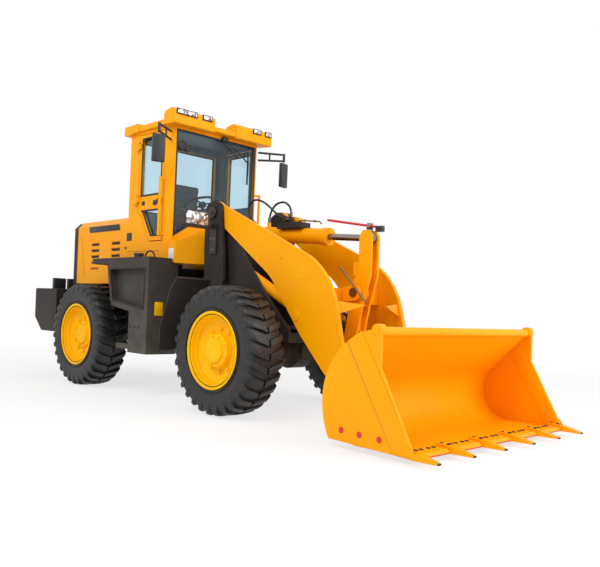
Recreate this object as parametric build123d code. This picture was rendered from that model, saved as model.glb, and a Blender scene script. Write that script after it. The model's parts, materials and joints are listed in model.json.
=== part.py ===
from build123d import *
import math
import os

# Articulated wheel loader, about 6 m long. Millimetres. +X forward, +Y left, +Z up.
# Every piece is drawn with X = 0 at the front axle and Z = 0 on the ground; save() then
# moves it so that X = 0 is half way between the bucket's teeth and the counterweight.

# ---------------------------------------------------------------- clearances and walls
RUN = 0.3            # radial clearance of a pin in its bore, and a pin end from its plate
SIDE = 7.0           # side clearance between plates that turn past each other
SHEET = 12.0         # hood sheet with its folded stiffeners
PAD_GAP = 0.3        # between an axle's pads and the frame above
CAB_WALL = 45.0      # cab pillar and wall depth
DOOR_GAP = 9.0       # gap round a door
GLASS = 6.0          # glass thickness

# ---------------------------------------------------------------- running gear
WHEELBASE = 2432.0
HALF_TRACK = 837.0   # wheel centre from the middle plane
TYRE_R = 567.0       # out to the lugs' tips
TYRE_W = 360.0
TREAD_R = 533.0      # the carcass between the lugs
TREAD_LUGS = 30      # pairs of lugs round a tyre
TREAD_LUG_W = 44.0
TREAD_LUG_LEAN = 26.0    # how far each end of a lug is turned along the tread
BEAD_R = 305.0       # where the tyre sits on the rim
FLANGE_R = 339.0     # the rim's lip
HUB_R = 150.0
SPINDLE_R = 70.0
AXLE_TUBE_R = 75.0
AXLE_Z = TYRE_R
REAR_AXLE_X = -WHEELBASE
PIVOT_X = -WHEELBASE / 2     # the articulation is half way between the axles

# ---------------------------------------------------------------- working arm: pins in (X, Z)
BOOM_PIVOT = (-705.0, 1858.0)
BUCKET_PIN = (1235.0, 320.0)
CRANK_PIN = (780.0, 1115.0)
CRANK_TOP = (856.0, 1590.0)
CRANK_FOOT = (699.0, 521.0)
LINK_PIN = (1215.0, 564.0)
TILT_BASE = (-637.0, 1698.0)
LIFT_BASE = (-560.0, 1380.0)
LIFT_EYE = (450.0, 890.0)

ARM_IN = 415.0       # inner face of a boom arm
ARM_T = 40.0
ARM_OUT = ARM_IN + ARM_T
BOOM_BOSS_R = 118.0
BOOM_PIN_R = 40.0
BUCKET_BOSS_R = 95.0
BUCKET_PIN_R = 36.0
SMALL_PIN_R = 28.0
CRANK_PIN_R = 40.0
CRANK_HALF = 35.0    # half the gap between the bellcrank's two plates
CRANK_T = 25.0
LINK_W = 60.0
EAR_IN = CRANK_HALF + 3      # inner face of the bucket's middle ears
TILT_ROD_R = 30.0
TILT_BARREL_R = 74.0
LIFT_ROD_R = 27.0
STEER_ROD_R = 18.0
LEVEL_ROD = ((364.0, 1777.0), (930.0, 1684.0))   # the bucket level indicator, in (X, Z)
LEVEL_ROD_R = 11.0
HOSE_R = 10.0
VALVE_X = (-190.0, -60.0)    # block on the tilt cylinder that the hoses feed
VALVE_TOP = 1835.0
VALVE_BASE_Z = 1768.0
HOSE_A = [
    (-505, -100, 1775), (-566, -100, 1822), (-636, -100, 1901), (-618, -100, 1995),
    (-530, -100, 2033), (-385, -100, 1985), (-218, -100, 1860), (-105, -100, 1800), (-30, -100, 1800),
]
HOSE_B = [
    (-393, -30, 1795), (-393, -30, 1870), (-330, -30, 1965), (-215, -30, 1992), (-128, -30, 1955),
    (-88, -30, 1895), (-88, -30, 1835),
]

# ---------------------------------------------------------------- bucket
BUCKET_HALF = 1058.0
SIDE_T = 25.0        # side plates
SHELL_T = 20.0       # floor and back
FLOOR_Z = 42.0       # underside of the floor
BACK_R = 248.0       # inside radius where the floor turns up into the back
BACK_ARC = (1663.0, FLOOR_Z + SHELL_T + BACK_R)
BACK_TOP = (1812.0, 815.0)   # inside of the back's top edge
HEEL = (1421.0, 60.0)
SIDE_BULGE = (1356.0, 420.0)
SIDE_CREST = (1600.0, 776.0)
SIDE_TOP = (1843.0, 850.0)
SIDE_KNEE = (1847.0, 590.0)
LIP = (2150.0, 38.0)
TOOTH_TIP_X = 2311.0
TOOTH_COUNT = 6
CORNER_TOOTH = BUCKET_HALF - 28.0      # the outermost teeth stand over the side plates
TOOTH_PITCH = 2 * CORNER_TOOTH / (TOOTH_COUNT - 1)
TOOTH_W = 72.0
TOOTH_TIP_HALF = 20.0
PLATE_GAP = 14.0     # between a tooth and the bolted plate beside it

# ---------------------------------------------------------------- frames
PLATE = 32.0         # frame side plates
FRONT_IN = ARM_IN - SIDE - PLATE       # inner tower plates, inside the arms
TOWER_OUT = ARM_OUT + SIDE             # outer tower plates, outside the arms
TOWER_T = 34.0
REAR_PLATE_IN = 400.0
REAR_PLATE_T = 25.0
FRONT_SEAT_Z = 650.0                   # underside of the front frame over the axle
REAR_SEAT_Z = 690.0
LAMP_X = -605.0       # face of the head lamps
LAMP_IN, LAMP_OUT = 610.0, 915.0
LUG_Z = (620.0, 1020.0)                # mid-heights of the two articulation lugs
LUG_T = 40.0
LUG_R = 105.0
KING_PIN_R = 40.0
LIFT_IN, LIFT_OUT = 275.0, 340.0       # faces of a lift cylinder's eyes
STEER_Z = 800.0
STEER_BASE = (-560.0, 330.0)           # from the articulation pin, in (X, |Y|)
STEER_EYE = (150.0, 300.0)
REAR_FACE_X = -3720.0
REAR_FRAME_END = -3150.0               # where the counterweight is bolted on
COUNTER_Z = 1073.0                     # top of the counterweight
COUNTER_LOW = 556.0
COUNTER_TUCK = (188.0, 164.0)          # how far its lower rear edge is cut back, along X and Z
COUNTER_HALF = 900.0
ENGINE_Z = (860.0, 1650.0)
ENGINE_HALF = 270.0
AXLE_PAD_Z = (760.0, 795.0)            # the cross member over the rear axle

# ---------------------------------------------------------------- cab and body
CAB_HALF = 620.0
CAB_FRONT = -1300.0
CAB_REAR = -2060.0
CAB_FLOOR_Z = 1370.0
CAB_TOP_Z = 2800.0
ROOF_HALF = CAB_HALF + 48.0
ROOF_FRONT = -1170.0
ROOF_REAR = CAB_REAR - 70.0
ROOF_Z = (2797.0, 2856.0)
POD_Z = 2952.0       # top of the front corner pods
COWL_FRONT = -1030.0
CORNER = 62.0        # chamfer of the cab's front corners
DOOR_REAR = CAB_REAR + 180.0
DOOR_FRONT = -1398.0
HINGE_OUT = 21.0                       # door hinge line outside the cab wall
HINGES_Z = (2060.0, 2640.0)
HINGE_PIN_R = 9.0
DOOR_TOP = 2765.0
DOOR_SILL = 1600.0
DOOR_PANES = ((2090.0, 2725.0), (1655.0, 1945.0))    # heights of a door's two windows
DOOR_EDGE = [
    (DOOR_REAR, DOOR_TOP), (DOOR_FRONT, DOOR_TOP), (DOOR_FRONT, DOOR_SILL),
    (DOOR_REAR + 240, DOOR_SILL), (DOOR_REAR + 80, 1880), (DOOR_REAR, 1935),
]
FRONT_GLASS = [(-548, 1650), (-350, 1770), (350, 1770), (548, 1650), (548, 2770), (-548, 2770)]
REAR_GLASS = [(-540, 1960), (540, 1960), (540, 2740), (-540, 2740)]
HOOD_HALF = 600.0
HOOD_FRONT = CAB_REAR - 8.0
HOOD_REAR = -3240.0
GRILLE_D = 100.0     # depth of the dark rear panel
ENGINE_X = (HOOD_REAR + 160.0, HOOD_FRONT - 182.0)
HOOD_Z = (1150.0, 1900.0)
ROOF_LAMP_Z = (2880.0, 2938.0)
MIRROR_AT = (-1155.0, 862.0)           # a mirror's stem in (X, Y)
MIRROR_Z = (2351.0, 2625.0)
MIRROR_W = 128.0
MIRROR_TURN = 17.0                     # degrees its outer edge is turned back
PLATFORM_IN = 545.0
PLATFORM_OUT = 900.0
PLATFORM_FRONT = -1178.0
PLATFORM_Z = 1410.0

SHIFT_X = -(TOOTH_TIP_X + REAR_FACE_X) / 2


# ---------------------------------------------------------------- helpers
def save(node, shape):
    """Write one node, moved to the whole machine's own origin."""
    os.makedirs("parts", exist_ok=True)
    export_step(shape.moved(Location((SHIFT_X, 0, 0))), f"parts/{node}.step")


def block(x, y, z):
    """A box from three (low, high) pairs."""
    size = [b - a for a, b in (x, y, z)]
    middle = [(a + b) / 2 for a, b in (x, y, z)]
    return Solid.make_box(*size, Plane(origin=[m - s / 2 for m, s in zip(middle, size)]))


def bar(start, end, radius):
    """A round bar between two points."""
    way = Vector(*end) - Vector(*start)
    return Solid.make_cylinder(radius, way.length, Plane(origin=start, z_dir=way))


def pin(at, radius, y_low, y_high):
    """A round bar along Y at a point (X, Z)."""
    return bar((at[0], y_low, at[1]), (at[0], y_high, at[1]), radius)


def post(x, y, radius, z_low, z_high):
    """An upright round bar."""
    return bar((x, y, z_low), (x, y, z_high), radius)


def slab(outline, y_low, y_high):
    """A plate whose outline is points (X, Z) or (X, Z, corner radius)."""
    corners = [(p[0], y_low, p[1]) for p in outline]
    radii = [p[2] if len(p) > 2 else 0 for p in outline]
    if any(radii):
        wire = Wire(FilletPolyline(*corners, radius=radii, close=True).edges())
    else:
        wire = Wire.make_polygon(corners)
    return Solid.extrude(Face(wire), Vector(0, y_high - y_low, 0))


def deck(outline, z_low, z_high):
    """A flat plate whose outline is points (X, Y)."""
    wire = Wire.make_polygon([(x, y, z_low) for x, y in outline])
    return Solid.extrude(Face(wire), Vector(0, 0, z_high - z_low))


def ring(outline, centre):
    """A body turned about the Y axis through centre, from points (Y, radius)."""
    wire = Wire.make_polygon([(centre[0], y, centre[1] + r) for y, r in outline])
    axis = Axis((centre[0], 0, centre[1]), (0, 1, 0))
    return Solid.revolve(Face(wire), 360, axis)


def both(shape):
    """The shape and its mirror image on the other side."""
    return Compound([*shape.solids(), *mirror(shape, Plane.XZ).solids()])


def joined(*shapes):
    """All the shapes fused into one."""
    whole = shapes[0]
    for shape in shapes[1:]:
        whole = whole + shape
    return whole


def along(start, end, distance):
    """The point (X, Z) at a distance from start towards end."""
    length = math.dist(start, end)
    return tuple(a + (b - a) * distance / length for a, b in zip(start, end))


def between(at, y):
    return (at[0], y, at[1])


# ---------------------------------------------------------------- wheels and axles
def tyre():
    """A many-sided carcass with a pair of slanting lugs on each flat, one corner straight down."""
    half = TYRE_W / 2
    reach = TREAD_LUG_LEAN + TREAD_LUG_W / 2
    step = 360 / TREAD_LUGS

    def hoop(y, radius):
        turns = [math.radians((n + 0.5) * step) for n in range(TREAD_LUGS)]
        return Wire.make_polygon([(radius * math.sin(t), y, -radius * math.cos(t)) for t in turns])

    sections = [(half - 17, FLANGE_R), (half, 470), (half, TREAD_R)]
    sections = [(-y, r) for y, r in sections] + sections[::-1]
    carcass = Solid.make_loft([hoop(y, r) for y, r in sections], ruled=True)
    carcass -= bar((0, -half, 0), (0, half, 0), BEAD_R + RUN)
    top = math.sqrt(TYRE_R ** 2 - reach ** 2)
    inner, outer = -reach, reach - TREAD_LUG_W
    edge = Wire.make_polygon([(inner, 10, -top), (outer, half, -top), (outer, half, 25 - TREAD_R),
                              (inner, 10, 25 - TREAD_R)])
    lug = both(Solid.extrude(Face(edge), Vector(TREAD_LUG_W, 0, 0)))
    lugs = [piece for n in range(TREAD_LUGS) for piece in lug.rotate(Axis.Y, n * step).solids()]
    whole = carcass.fuse(*lugs).clean()
    return whole.rotate(Axis.Y, math.degrees(math.asin(reach / TYRE_R)))


def rim(x, side, driven_front):
    """Rim, dished disc and hub as one casting; outboard is positive before it is mirrored."""
    half = TYRE_W / 2
    lip = half - 4
    section = [
        (-lip, BEAD_R - 18), (-lip, FLANGE_R), (-half + 16, FLANGE_R), (-half + 16, BEAD_R),
        (half - 16, BEAD_R), (half - 16, FLANGE_R), (lip, FLANGE_R), (lip, BEAD_R - 18),
        (70, BEAD_R - 18), (54, HUB_R), (120 if driven_front else 90, HUB_R - 8),
        (124 if driven_front else 94, 105), (150 if driven_front else 112, 98),
        (152 if driven_front else 114, 0), (40, 0), (40, SPINDLE_R + RUN),
        (-60, SPINDLE_R + RUN), (-60, HUB_R), (36, HUB_R), (48, BEAD_R - 18),
    ]
    wheel = ring([(side * (y + HALF_TRACK), r) for y, r in section], (x, AXLE_Z))
    return wheel


def axle(x, frame_z, y_pad):
    """Axle housing: a central bowl, two tubes with pads, brake housings and the spindles."""
    centre = (x, AXLE_Z)
    hub_face = HALF_TRACK - 60 - 5
    half = [
        (0, 0), (0, 175), (95, 175), (150, 115), (330, AXLE_TUBE_R), (560, AXLE_TUBE_R),
        (580, 135), (hub_face, 135), (hub_face, SPINDLE_R), (HALF_TRACK + 34, SPINDLE_R),
        (HALF_TRACK + 34, 0),
    ]
    shape = joined(ring(half, centre), ring([(-y, r) for y, r in half], centre))
    nose = bar((x - 230, 0, AXLE_Z), (x + 205, 0, AXLE_Z), 105)
    pad = block((x - 95, x + 95), (y_pad - 45, y_pad + 45), (AXLE_Z - 40, frame_z - PAD_GAP))
    return joined(shape, nose, pad, mirror(pad, Plane.XZ))


def wheels():
    rubber = tyre()
    for name, x, front in (("front", 0.0, True), ("rear", REAR_AXLE_X, False)):
        for hand, side in (("right", -1), ("left", 1)):
            save(f"tyre_{name}_{hand}", rubber.moved(Location((x, side * HALF_TRACK, AXLE_Z))))
            save(f"rim_{name}_{hand}", rim(x, side, front))


# ---------------------------------------------------------------- front frame
def front_frame():
    """Two pairs of tower plates with the arms between them, on an axle box with pivot lugs."""
    bx, bz = BOOM_PIVOT
    inner = slab([
        (-1000, 560, 40), (-180, 560, 30), (-150, FRONT_SEAT_Z), (330, FRONT_SEAT_Z),
        (330, 760, 80), (-40, 1120, 120), (bx + 190, bz - 190, 120), (bx + 112, bz + 60, 60),
        (bx, bz + 118, 60), (bx - 112, bz + 60, 60), (bx - 155, 1500, 60), (-872, 1335, 60),
        (-1000, 1120, 60),
    ], FRONT_IN, FRONT_IN + PLATE)
    outer = slab([
        (-800, 1180, 30), (-500, 1180, 30), (bx + 178, 1471, 60), (bx + 112, bz + 90, 60),
        (bx, bz + 122, 50), (bx - 112, bz + 80, 60), (bx - 120, 1500, 60),
    ], TOWER_OUT, TOWER_OUT + TOWER_T)
    shelf = block((-790, -520), (FRONT_IN, TOWER_OUT + TOWER_T), (1150, 1190))
    boom_pin = pin(BOOM_PIVOT, BOOM_PIN_R, FRONT_IN - 10, TOWER_OUT + TOWER_T + 12)
    side = joined(inner, outer, shelf, boom_pin)
    shape = side + mirror(side, Plane.XZ)
    reach = FRONT_IN + 2
    for x, z in (
        ((-1000, -965), (560, 1100)), ((-700, 190), (760, 790)), ((300, 330), (FRONT_SEAT_Z, 740)),
        ((-880, -845), (1160, 1760)), ((-990, -260), (560, 590)),
    ):
        shape += block(x, (-reach, reach), z)
    for z in LUG_Z:
        lug = deck([(-980, -170), (PIVOT_X, -LUG_R), (PIVOT_X, LUG_R), (-980, 170)],
                   z - LUG_T / 2, z + LUG_T / 2)
        lug += post(PIVOT_X, 0, LUG_R, z - LUG_T / 2, z + LUG_T / 2)
        shape += lug
    for z in LUG_Z:
        shape -= post(PIVOT_X, 0, KING_PIN_R + RUN, z - LUG_T, z + LUG_T)
    eye_x, eye_y = PIVOT_X + STEER_EYE[0], STEER_EYE[1]
    for z in (STEER_Z - 50, STEER_Z + 30):
        ear = block((eye_x, -980), (eye_y - 45, eye_y + 45), (z, z + 20))
        ear += post(eye_x, eye_y, 45, z, z + 20)
        shape += joined(ear, mirror(ear, Plane.XZ))
    # ears and pin seats of the tilt and lift cylinders
    qx, qz = TILT_BASE
    for y in (52, -52 - 30):
        shape += slab([(-870, qz - 130), (qx + 20, qz - 75), (qx + 75, qz), (qx + 30, qz + 70),
                       (qx - 60, qz + 70), (-870, qz + 60)], y, y + 30)
    shape += pin(TILT_BASE, SMALL_PIN_R, -82, 82)
    lift = pin(LIFT_BASE, SMALL_PIN_R, LIFT_IN - 2, FRONT_IN + 5)
    lift += pin(LIFT_BASE, 60, LIFT_OUT + RUN, FRONT_IN + 5)
    return shape + lift + mirror(lift, Plane.XZ)


def front_fenders():
    """A bent guard with a hanging flap behind each front wheel, on a tube from the frame."""
    outer, inner = BUCKET_HALF, 665.0
    guard = slab([
        (-470, 1185), (-560, 1083), (-705, 745), (-712, 520), (-722, 520), (-717, 748),
        (-572, 1092), (-474, 1200),
    ], inner, outer)
    arm = bar((-640, FRONT_IN + PLATE, 960), (-640, inner + 30, 960), 28)
    return both(guard + arm)


def headlamps():
    """A head lamp carried on a bolted post outside each tower."""
    wall = TOWER_OUT + TOWER_T + PAD_GAP
    stand = block((-715, -620), (wall, wall + 20), (1450, 1740))
    arm = block((-700, -660), (wall, LAMP_IN + 20), (1700, 1740))
    case = block((LAMP_X - 75, LAMP_X), (LAMP_IN, LAMP_OUT), (1688, 1845))
    case = fillet(case.edges().filter_by(Axis.X), 28)
    back = block((LAMP_X - 125, LAMP_X - 60), (LAMP_IN + 35, LAMP_OUT - 45), (1705, 1825))
    return both(joined(stand, arm, case, back))


# ---------------------------------------------------------------- boom
ARM_EDGE = [
    (-705, 1976), (828, 1302, 700), (1000, 625, 300), (1262, 411), (1190, 236), (829, 405, 300),
    (500, 745, 400), (110, 1235, 500), (-690, 1790),
]


def boom():
    """Two bent arms, a cross tube between them and the ears that carry the bellcrank."""
    arm = slab(ARM_EDGE, ARM_IN, ARM_OUT)
    arm += pin(BOOM_PIVOT, BOOM_BOSS_R, ARM_IN, ARM_OUT)
    arm += pin(BUCKET_PIN, BUCKET_BOSS_R, ARM_IN, ARM_OUT)
    arm += pin(LIFT_EYE, 75, LIFT_OUT + RUN, ARM_IN)
    arm -= pin(BOOM_PIVOT, BOOM_PIN_R + RUN, 0, BUCKET_HALF)
    arm -= pin(BUCKET_PIN, BUCKET_PIN_R + RUN, 0, BUCKET_HALF)
    shape = arm + mirror(arm, Plane.XZ)
    cx, cz = CRANK_PIN
    shape += block((530, 660), (-ARM_IN, ARM_IN), (1020, 1150))
    ear_in = CRANK_HALF + CRANK_T + SIDE
    for y in (ear_in, -ear_in - 30):
        ear = slab([(600, 1030), (660, 1030), (cx, cz - 68), (cx, cz + 68), (600, 1145)],
                   y, y + 30)
        shape += ear + pin(CRANK_PIN, 72, y, y + 30)
    shape -= pin(CRANK_PIN, CRANK_PIN_R + RUN, -ear_in - 40, ear_in + 40)
    wing = Solid.extrude(
        Face(Wire.make_polygon([(880, ARM_IN, 1034), (965, 125, 1010), (890, ARM_IN, 925)])),
        Vector(-28, 0, -6))
    return shape + wing + mirror(wing, Plane.XZ)


def bellcrank():
    """Two plates on a hub tube, closed by a web below the cylinder's eye."""
    cx, cz = CRANK_PIN
    tx, tz = CRANK_TOP
    fx, fz = CRANK_FOOT
    outline = [
        (tx - 62, tz - 20, 60), (tx - 62, tz + 20, 30), (tx - 30, tz + 66, 30), (tx + 35, tz + 66, 30),
        (tx + 68, tz + 15, 40), (cx + 150, cz + 150, 200), (cx + 72, cz - 120, 200),
        (fx + 62, fz + 10, 40), (fx + 30, fz - 58, 30), (fx - 42, fz - 52, 30), (fx - 64, fz + 20, 40),
        (cx - 70, cz - 130, 100), (cx - 78, cz + 60, 60), (tx - 56, cz + 175, 120),
    ]
    shape = slab(outline, CRANK_HALF, CRANK_HALF + CRANK_T)
    shape += mirror(shape, Plane.XZ)
    shape += pin(CRANK_PIN, 78, -CRANK_HALF, CRANK_HALF)
    shape += block((cx - 60, cx + 90), (-CRANK_HALF, CRANK_HALF), (cz + 150, cz + 270))
    shape += block((cx - 75, cx + 5), (-CRANK_HALF, CRANK_HALF), (cz - 330, cz - 200))
    shape -= pin(CRANK_PIN, CRANK_PIN_R + RUN, -100, 100)
    return shape - pin(CRANK_FOOT, SMALL_PIN_R + RUN, -100, 100)


def bucket_link():
    """The bar from the bellcrank's foot to the bucket, its front pin set in it."""
    half = LINK_W / 2
    web = bar(between(CRANK_FOOT, 0), between(LINK_PIN, 0), 10)
    way = Vector(LINK_PIN[0] - CRANK_FOOT[0], 0, LINK_PIN[1] - CRANK_FOOT[1])
    beam = Solid.make_box(
        way.length, LINK_W, 96,
        Plane(origin=(CRANK_FOOT[0], -half, CRANK_FOOT[1]), x_dir=way, z_dir=Vector(-way.Z, 0, way.X)))
    beam = beam.moved(Location(Vector(-way.Z, 0, way.X).normalized() * -48))
    shape = joined(beam, web, pin(CRANK_FOOT, 58, -half, half), pin(LINK_PIN, 58, -half, half))
    shape += pin(LINK_PIN, SMALL_PIN_R, -EAR_IN + RUN, EAR_IN - RUN)
    return shape - pin(CRANK_FOOT, SMALL_PIN_R + RUN, -100, 100)


# ---------------------------------------------------------------- bucket
def bucket():
    """Floor rolled into a sloping back, closed by side plates, with ears behind."""
    ax, az = BACK_ARC
    slope = math.radians(45.4)
    turn = Vector(-math.sin(slope), 0, math.cos(slope))

    def profile(radius):
        foot = (ax, 0, az - radius)
        side = (ax - radius, 0, az)
        knee = Vector(ax, 0, az) + turn * radius
        top = Vector(BACK_TOP[0], 0, BACK_TOP[1]) + turn * (radius - BACK_R)
        return foot, side, knee, top

    f1, s1, k1, t1 = profile(BACK_R)
    f2, s2, k2, t2 = profile(BACK_R + SHELL_T)
    edges = [
        Line((LIP[0] - 130, 0, f1[2]), f1), ThreePointArc(f1, s1, k1), Line(k1, t1), Line(t1, t2),
        Line(t2, k2), ThreePointArc(k2, s2, f2), Line(f2, (LIP[0] - 130, 0, f2[2])),
        Line((LIP[0] - 130, 0, f2[2]), (LIP[0] - 130, 0, f1[2])),
    ]
    inside = BUCKET_HALF - SIDE_T
    shell = Solid.extrude(Face(Wire(edges)), Vector(0, 2 * inside, 0)).moved(Location((0, -inside, 0)))
    edge = Wire([
        Line((HEEL[0], 0, HEEL[1]), (LIP[0], 0, LIP[1])),
        Line((LIP[0], 0, LIP[1]), (SIDE_KNEE[0], 0, SIDE_KNEE[1])),
        Line((SIDE_KNEE[0], 0, SIDE_KNEE[1]), (SIDE_TOP[0], 0, SIDE_TOP[1])),
        ThreePointArc((SIDE_TOP[0], 0, SIDE_TOP[1]), (SIDE_CREST[0], 0, SIDE_CREST[1]),
                      (SIDE_BULGE[0], 0, SIDE_BULGE[1])),
        ThreePointArc((SIDE_BULGE[0], 0, SIDE_BULGE[1]), (1360, 0, 230), (HEEL[0], 0, HEEL[1])),
    ])
    cheek = Solid.extrude(Face(edge), Vector(0, SIDE_T, 0)).moved(Location((0, inside, 0)))
    shape = shell + cheek + mirror(cheek, Plane.XZ)
    tube = bar((t2.X + 6, -inside, t2.Z), (t2.X + 6, inside, t2.Z), 32)
    shape += tube
    px, pz = BUCKET_PIN
    plate_in, plate_out = ARM_IN - SIDE - 28, ARM_OUT + SIDE
    hollow = ax - BACK_R - SHELL_T / 2
    ear_edge = [(px - 60, pz + 60), (px - 70, pz - 40), (px, pz - 84), (hollow + 60, 130),
                (hollow, az), (hollow + 60, az + 190), (px + 40, pz + 90)]
    room = Wire([
        Line((ax + 600, 0, f1[2]), f1), ThreePointArc(f1, s1, k1), Line(k1, t1),
        Line(t1, (ax + 600, 0, t1.Z)), Line((ax + 600, 0, t1.Z), (ax + 600, 0, f1[2])),
    ])
    room = Solid.extrude(Face(room), Vector(0, 2 * inside, 0)).moved(Location((0, -inside, 0)))
    for y in (plate_in, plate_out):
        ear = slab(ear_edge, y, y + 28) + pin(BUCKET_PIN, 84, y, y + 28) - room
        shape += joined(ear, mirror(ear, Plane.XZ))
    lx, lz = LINK_PIN
    mid = slab([(lx - 90, lz - 30), (lx - 60, lz + 75), (lx + 40, lz + 95), (hollow + 145, az + 260),
                (hollow, az + 40), (lx + 20, lz - 95)], EAR_IN, EAR_IN + 28) - room
    shape += mid + mirror(mid, Plane.XZ)
    for y in (plate_in, plate_out):
        bore = pin(BUCKET_PIN, BUCKET_PIN_R + RUN, y - 5, y + 33)
        shape -= joined(bore, mirror(bore, Plane.XZ))
    return shape


def bucket_edge():
    """The cutting edge with its bolted teeth, one solid."""
    top = FLOOR_Z + SHELL_T
    inside = BUCKET_HALF - SIDE_T
    lip = LIP[0]
    shape = slab([(lip - 130, FLOOR_Z), (lip - 130, top), (lip - 30, top - 4), (lip, FLOOR_Z + 4),
                  (lip, FLOOR_Z - 4), (lip - 20, FLOOR_Z)], -inside, inside)
    for n in range(TOOTH_COUNT):
        y = n * TOOTH_PITCH - CORNER_TOOTH
        half = TOOTH_W / 2
        spike = deck([(lip - 135, y - half), (lip + 20, y - half), (TOOTH_TIP_X, y - TOOTH_TIP_HALF),
                      (TOOTH_TIP_X, y + TOOTH_TIP_HALF), (lip + 20, y + half), (lip - 135, y + half)],
                     FLOOR_Z - 10, top + 40)
        side = slab([(lip - 128, top - 2), (lip - 110, top + 30), (lip + 10, top + 20),
                     (TOOTH_TIP_X, FLOOR_Z + 4), (TOOTH_TIP_X, FLOOR_Z - 6), (lip - 20, FLOOR_Z - 4),
                     (lip - 20, FLOOR_Z + 10)], y - half, y + half)
        shape += side & spike
    for n in range(TOOTH_COUNT - 1):
        y = n * TOOTH_PITCH - CORNER_TOOTH
        shape += slab([(lip - 128, top - 2), (lip - 122, top + 12), (lip - 18, top + 8),
                       (lip + 9, FLOOR_Z + 9), (lip + 9, FLOOR_Z), (lip - 10, FLOOR_Z)],
                      y + TOOTH_W / 2 + PLATE_GAP, y + TOOTH_PITCH - TOOTH_W / 2 - PLATE_GAP)
    cheek = slab([(HEEL[0], 0), (lip + 0.3, 0), (lip + 0.3, 400), (HEEL[0], 400)],
                 inside, BUCKET_HALF)
    return shape - cheek - mirror(cheek, Plane.XZ)


# ---------------------------------------------------------------- cylinders
def cylinder_barrel(base, eye, body_r, body_end, bore_r, bore_start, y_pair, eye_r, pin_r):
    """A barrel from its base eye towards the rod's eye, bored for the rod."""
    y_mid = sum(y_pair) / 2
    tip = along(base, eye, body_end)
    neck = min(body_r, (y_pair[1] - y_pair[0]) / 2) - 4
    start = eye_r + 34
    shape = bar(between(along(base, eye, eye_r * 0.6), y_mid),
                between(along(base, eye, start + 5), y_mid), neck)
    shape += bar(between(along(base, eye, start), y_mid), between(tip, y_mid), body_r)
    gland = along(base, eye, body_end - 70)
    shape += bar(between(gland, y_mid), between(tip, y_mid), body_r + 8)
    shape += pin(base, eye_r, *y_pair)
    shape -= bar(between(along(base, eye, bore_start), y_mid),
                 between(along(base, eye, body_end + 5), y_mid), bore_r + RUN)
    return shape - pin(base, pin_r + RUN, y_pair[0] - 5, y_pair[1] + 5)


def cylinder_rod(base, eye, rod_r, rod_length, y_pair, eye_r, stub_pair, pin_r):
    """A rod with its eye and the pin fixed in it."""
    y_mid = sum(y_pair) / 2
    shape = bar(between(along(eye, base, rod_length), y_mid),
                between(along(eye, base, eye_r * 0.6), y_mid), rod_r)
    shape += pin(eye, eye_r, *y_pair)
    return shape + pin(eye, pin_r, *stub_pair)


def arm_cylinders():
    tilt_pair = (-40.0, 40.0)
    barrel = cylinder_barrel(TILT_BASE, CRANK_TOP, TILT_BARREL_R, 1035, TILT_ROD_R, 480, tilt_pair, 66,
                             SMALL_PIN_R)
    start, toward = Vector(*HOSE_A[0]), Vector(*HOSE_A[1])
    way = (toward - start).normalized()
    barrel += block((-530, -475), (-114, -50), (1700, 1752))
    barrel += bar(start - way * 45, start, 16)
    barrel += post(HOSE_B[0][0], HOSE_B[0][1], 18, 1730, HOSE_B[0][2])
    save("tilt_barrel", barrel)
    rod = cylinder_rod(TILT_BASE, CRANK_TOP, TILT_ROD_R, 860, (-28, 28), 56,
                       (-CRANK_HALF + RUN, CRANK_HALF - RUN), SMALL_PIN_R)
    level_rear, level_front = [between(at, 0) for at in LEVEL_ROD]
    rod += block((CRANK_TOP[0] - 15, CRANK_TOP[0] + 15), (-24, 24),
                 (CRANK_TOP[1] + 40, CRANK_TOP[1] + 130))
    save("tilt_rod", rod - bar(level_rear, level_front, LEVEL_ROD_R + RUN))
    save("level_rod", bar(level_rear, level_front, LEVEL_ROD_R))
    lift_pair = (LIFT_IN, LIFT_OUT)
    reach = math.dist(LIFT_BASE, LIFT_EYE)
    save("lift_barrels", both(cylinder_barrel(LIFT_BASE, LIFT_EYE, 52, reach - 130, LIFT_ROD_R, 160,
                                              lift_pair, 58, SMALL_PIN_R)))
    save("lift_rods", both(cylinder_rod(LIFT_BASE, LIFT_EYE, LIFT_ROD_R, reach - 190, lift_pair, 58,
                                        lift_pair, SMALL_PIN_R)))


def bends(points):
    """The radius of each corner of a hose's route: most of what its shorter run allows."""
    radii = []
    for a, b, c in zip(points, points[1:], points[2:]):
        before, after = Vector(*b) - Vector(*a), Vector(*c) - Vector(*b)
        half_turn = math.radians(before.get_angle(after)) / 2
        radii.append(0.45 * min(before.length, after.length) / math.tan(half_turn))
    return radii


def hose(points):
    """A tube along a route whose corners are rounded; its two ends stop just short of their fittings."""
    first = Vector(*points[1]) - Vector(*points[0])
    last = Vector(*points[-2]) - Vector(*points[-1])
    start = Vector(*points[0]) + first.normalized() * RUN
    end = Vector(*points[-1]) + last.normalized() * RUN
    radii = bends(points)
    print("hose bends", [round(value) for value in radii])
    path = FilletPolyline(start, *points[1:-1], end, radius=radii)
    ring_face = Plane(origin=start, z_dir=first) * Circle(HOSE_R)
    return sweep(ring_face, path=path)


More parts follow.
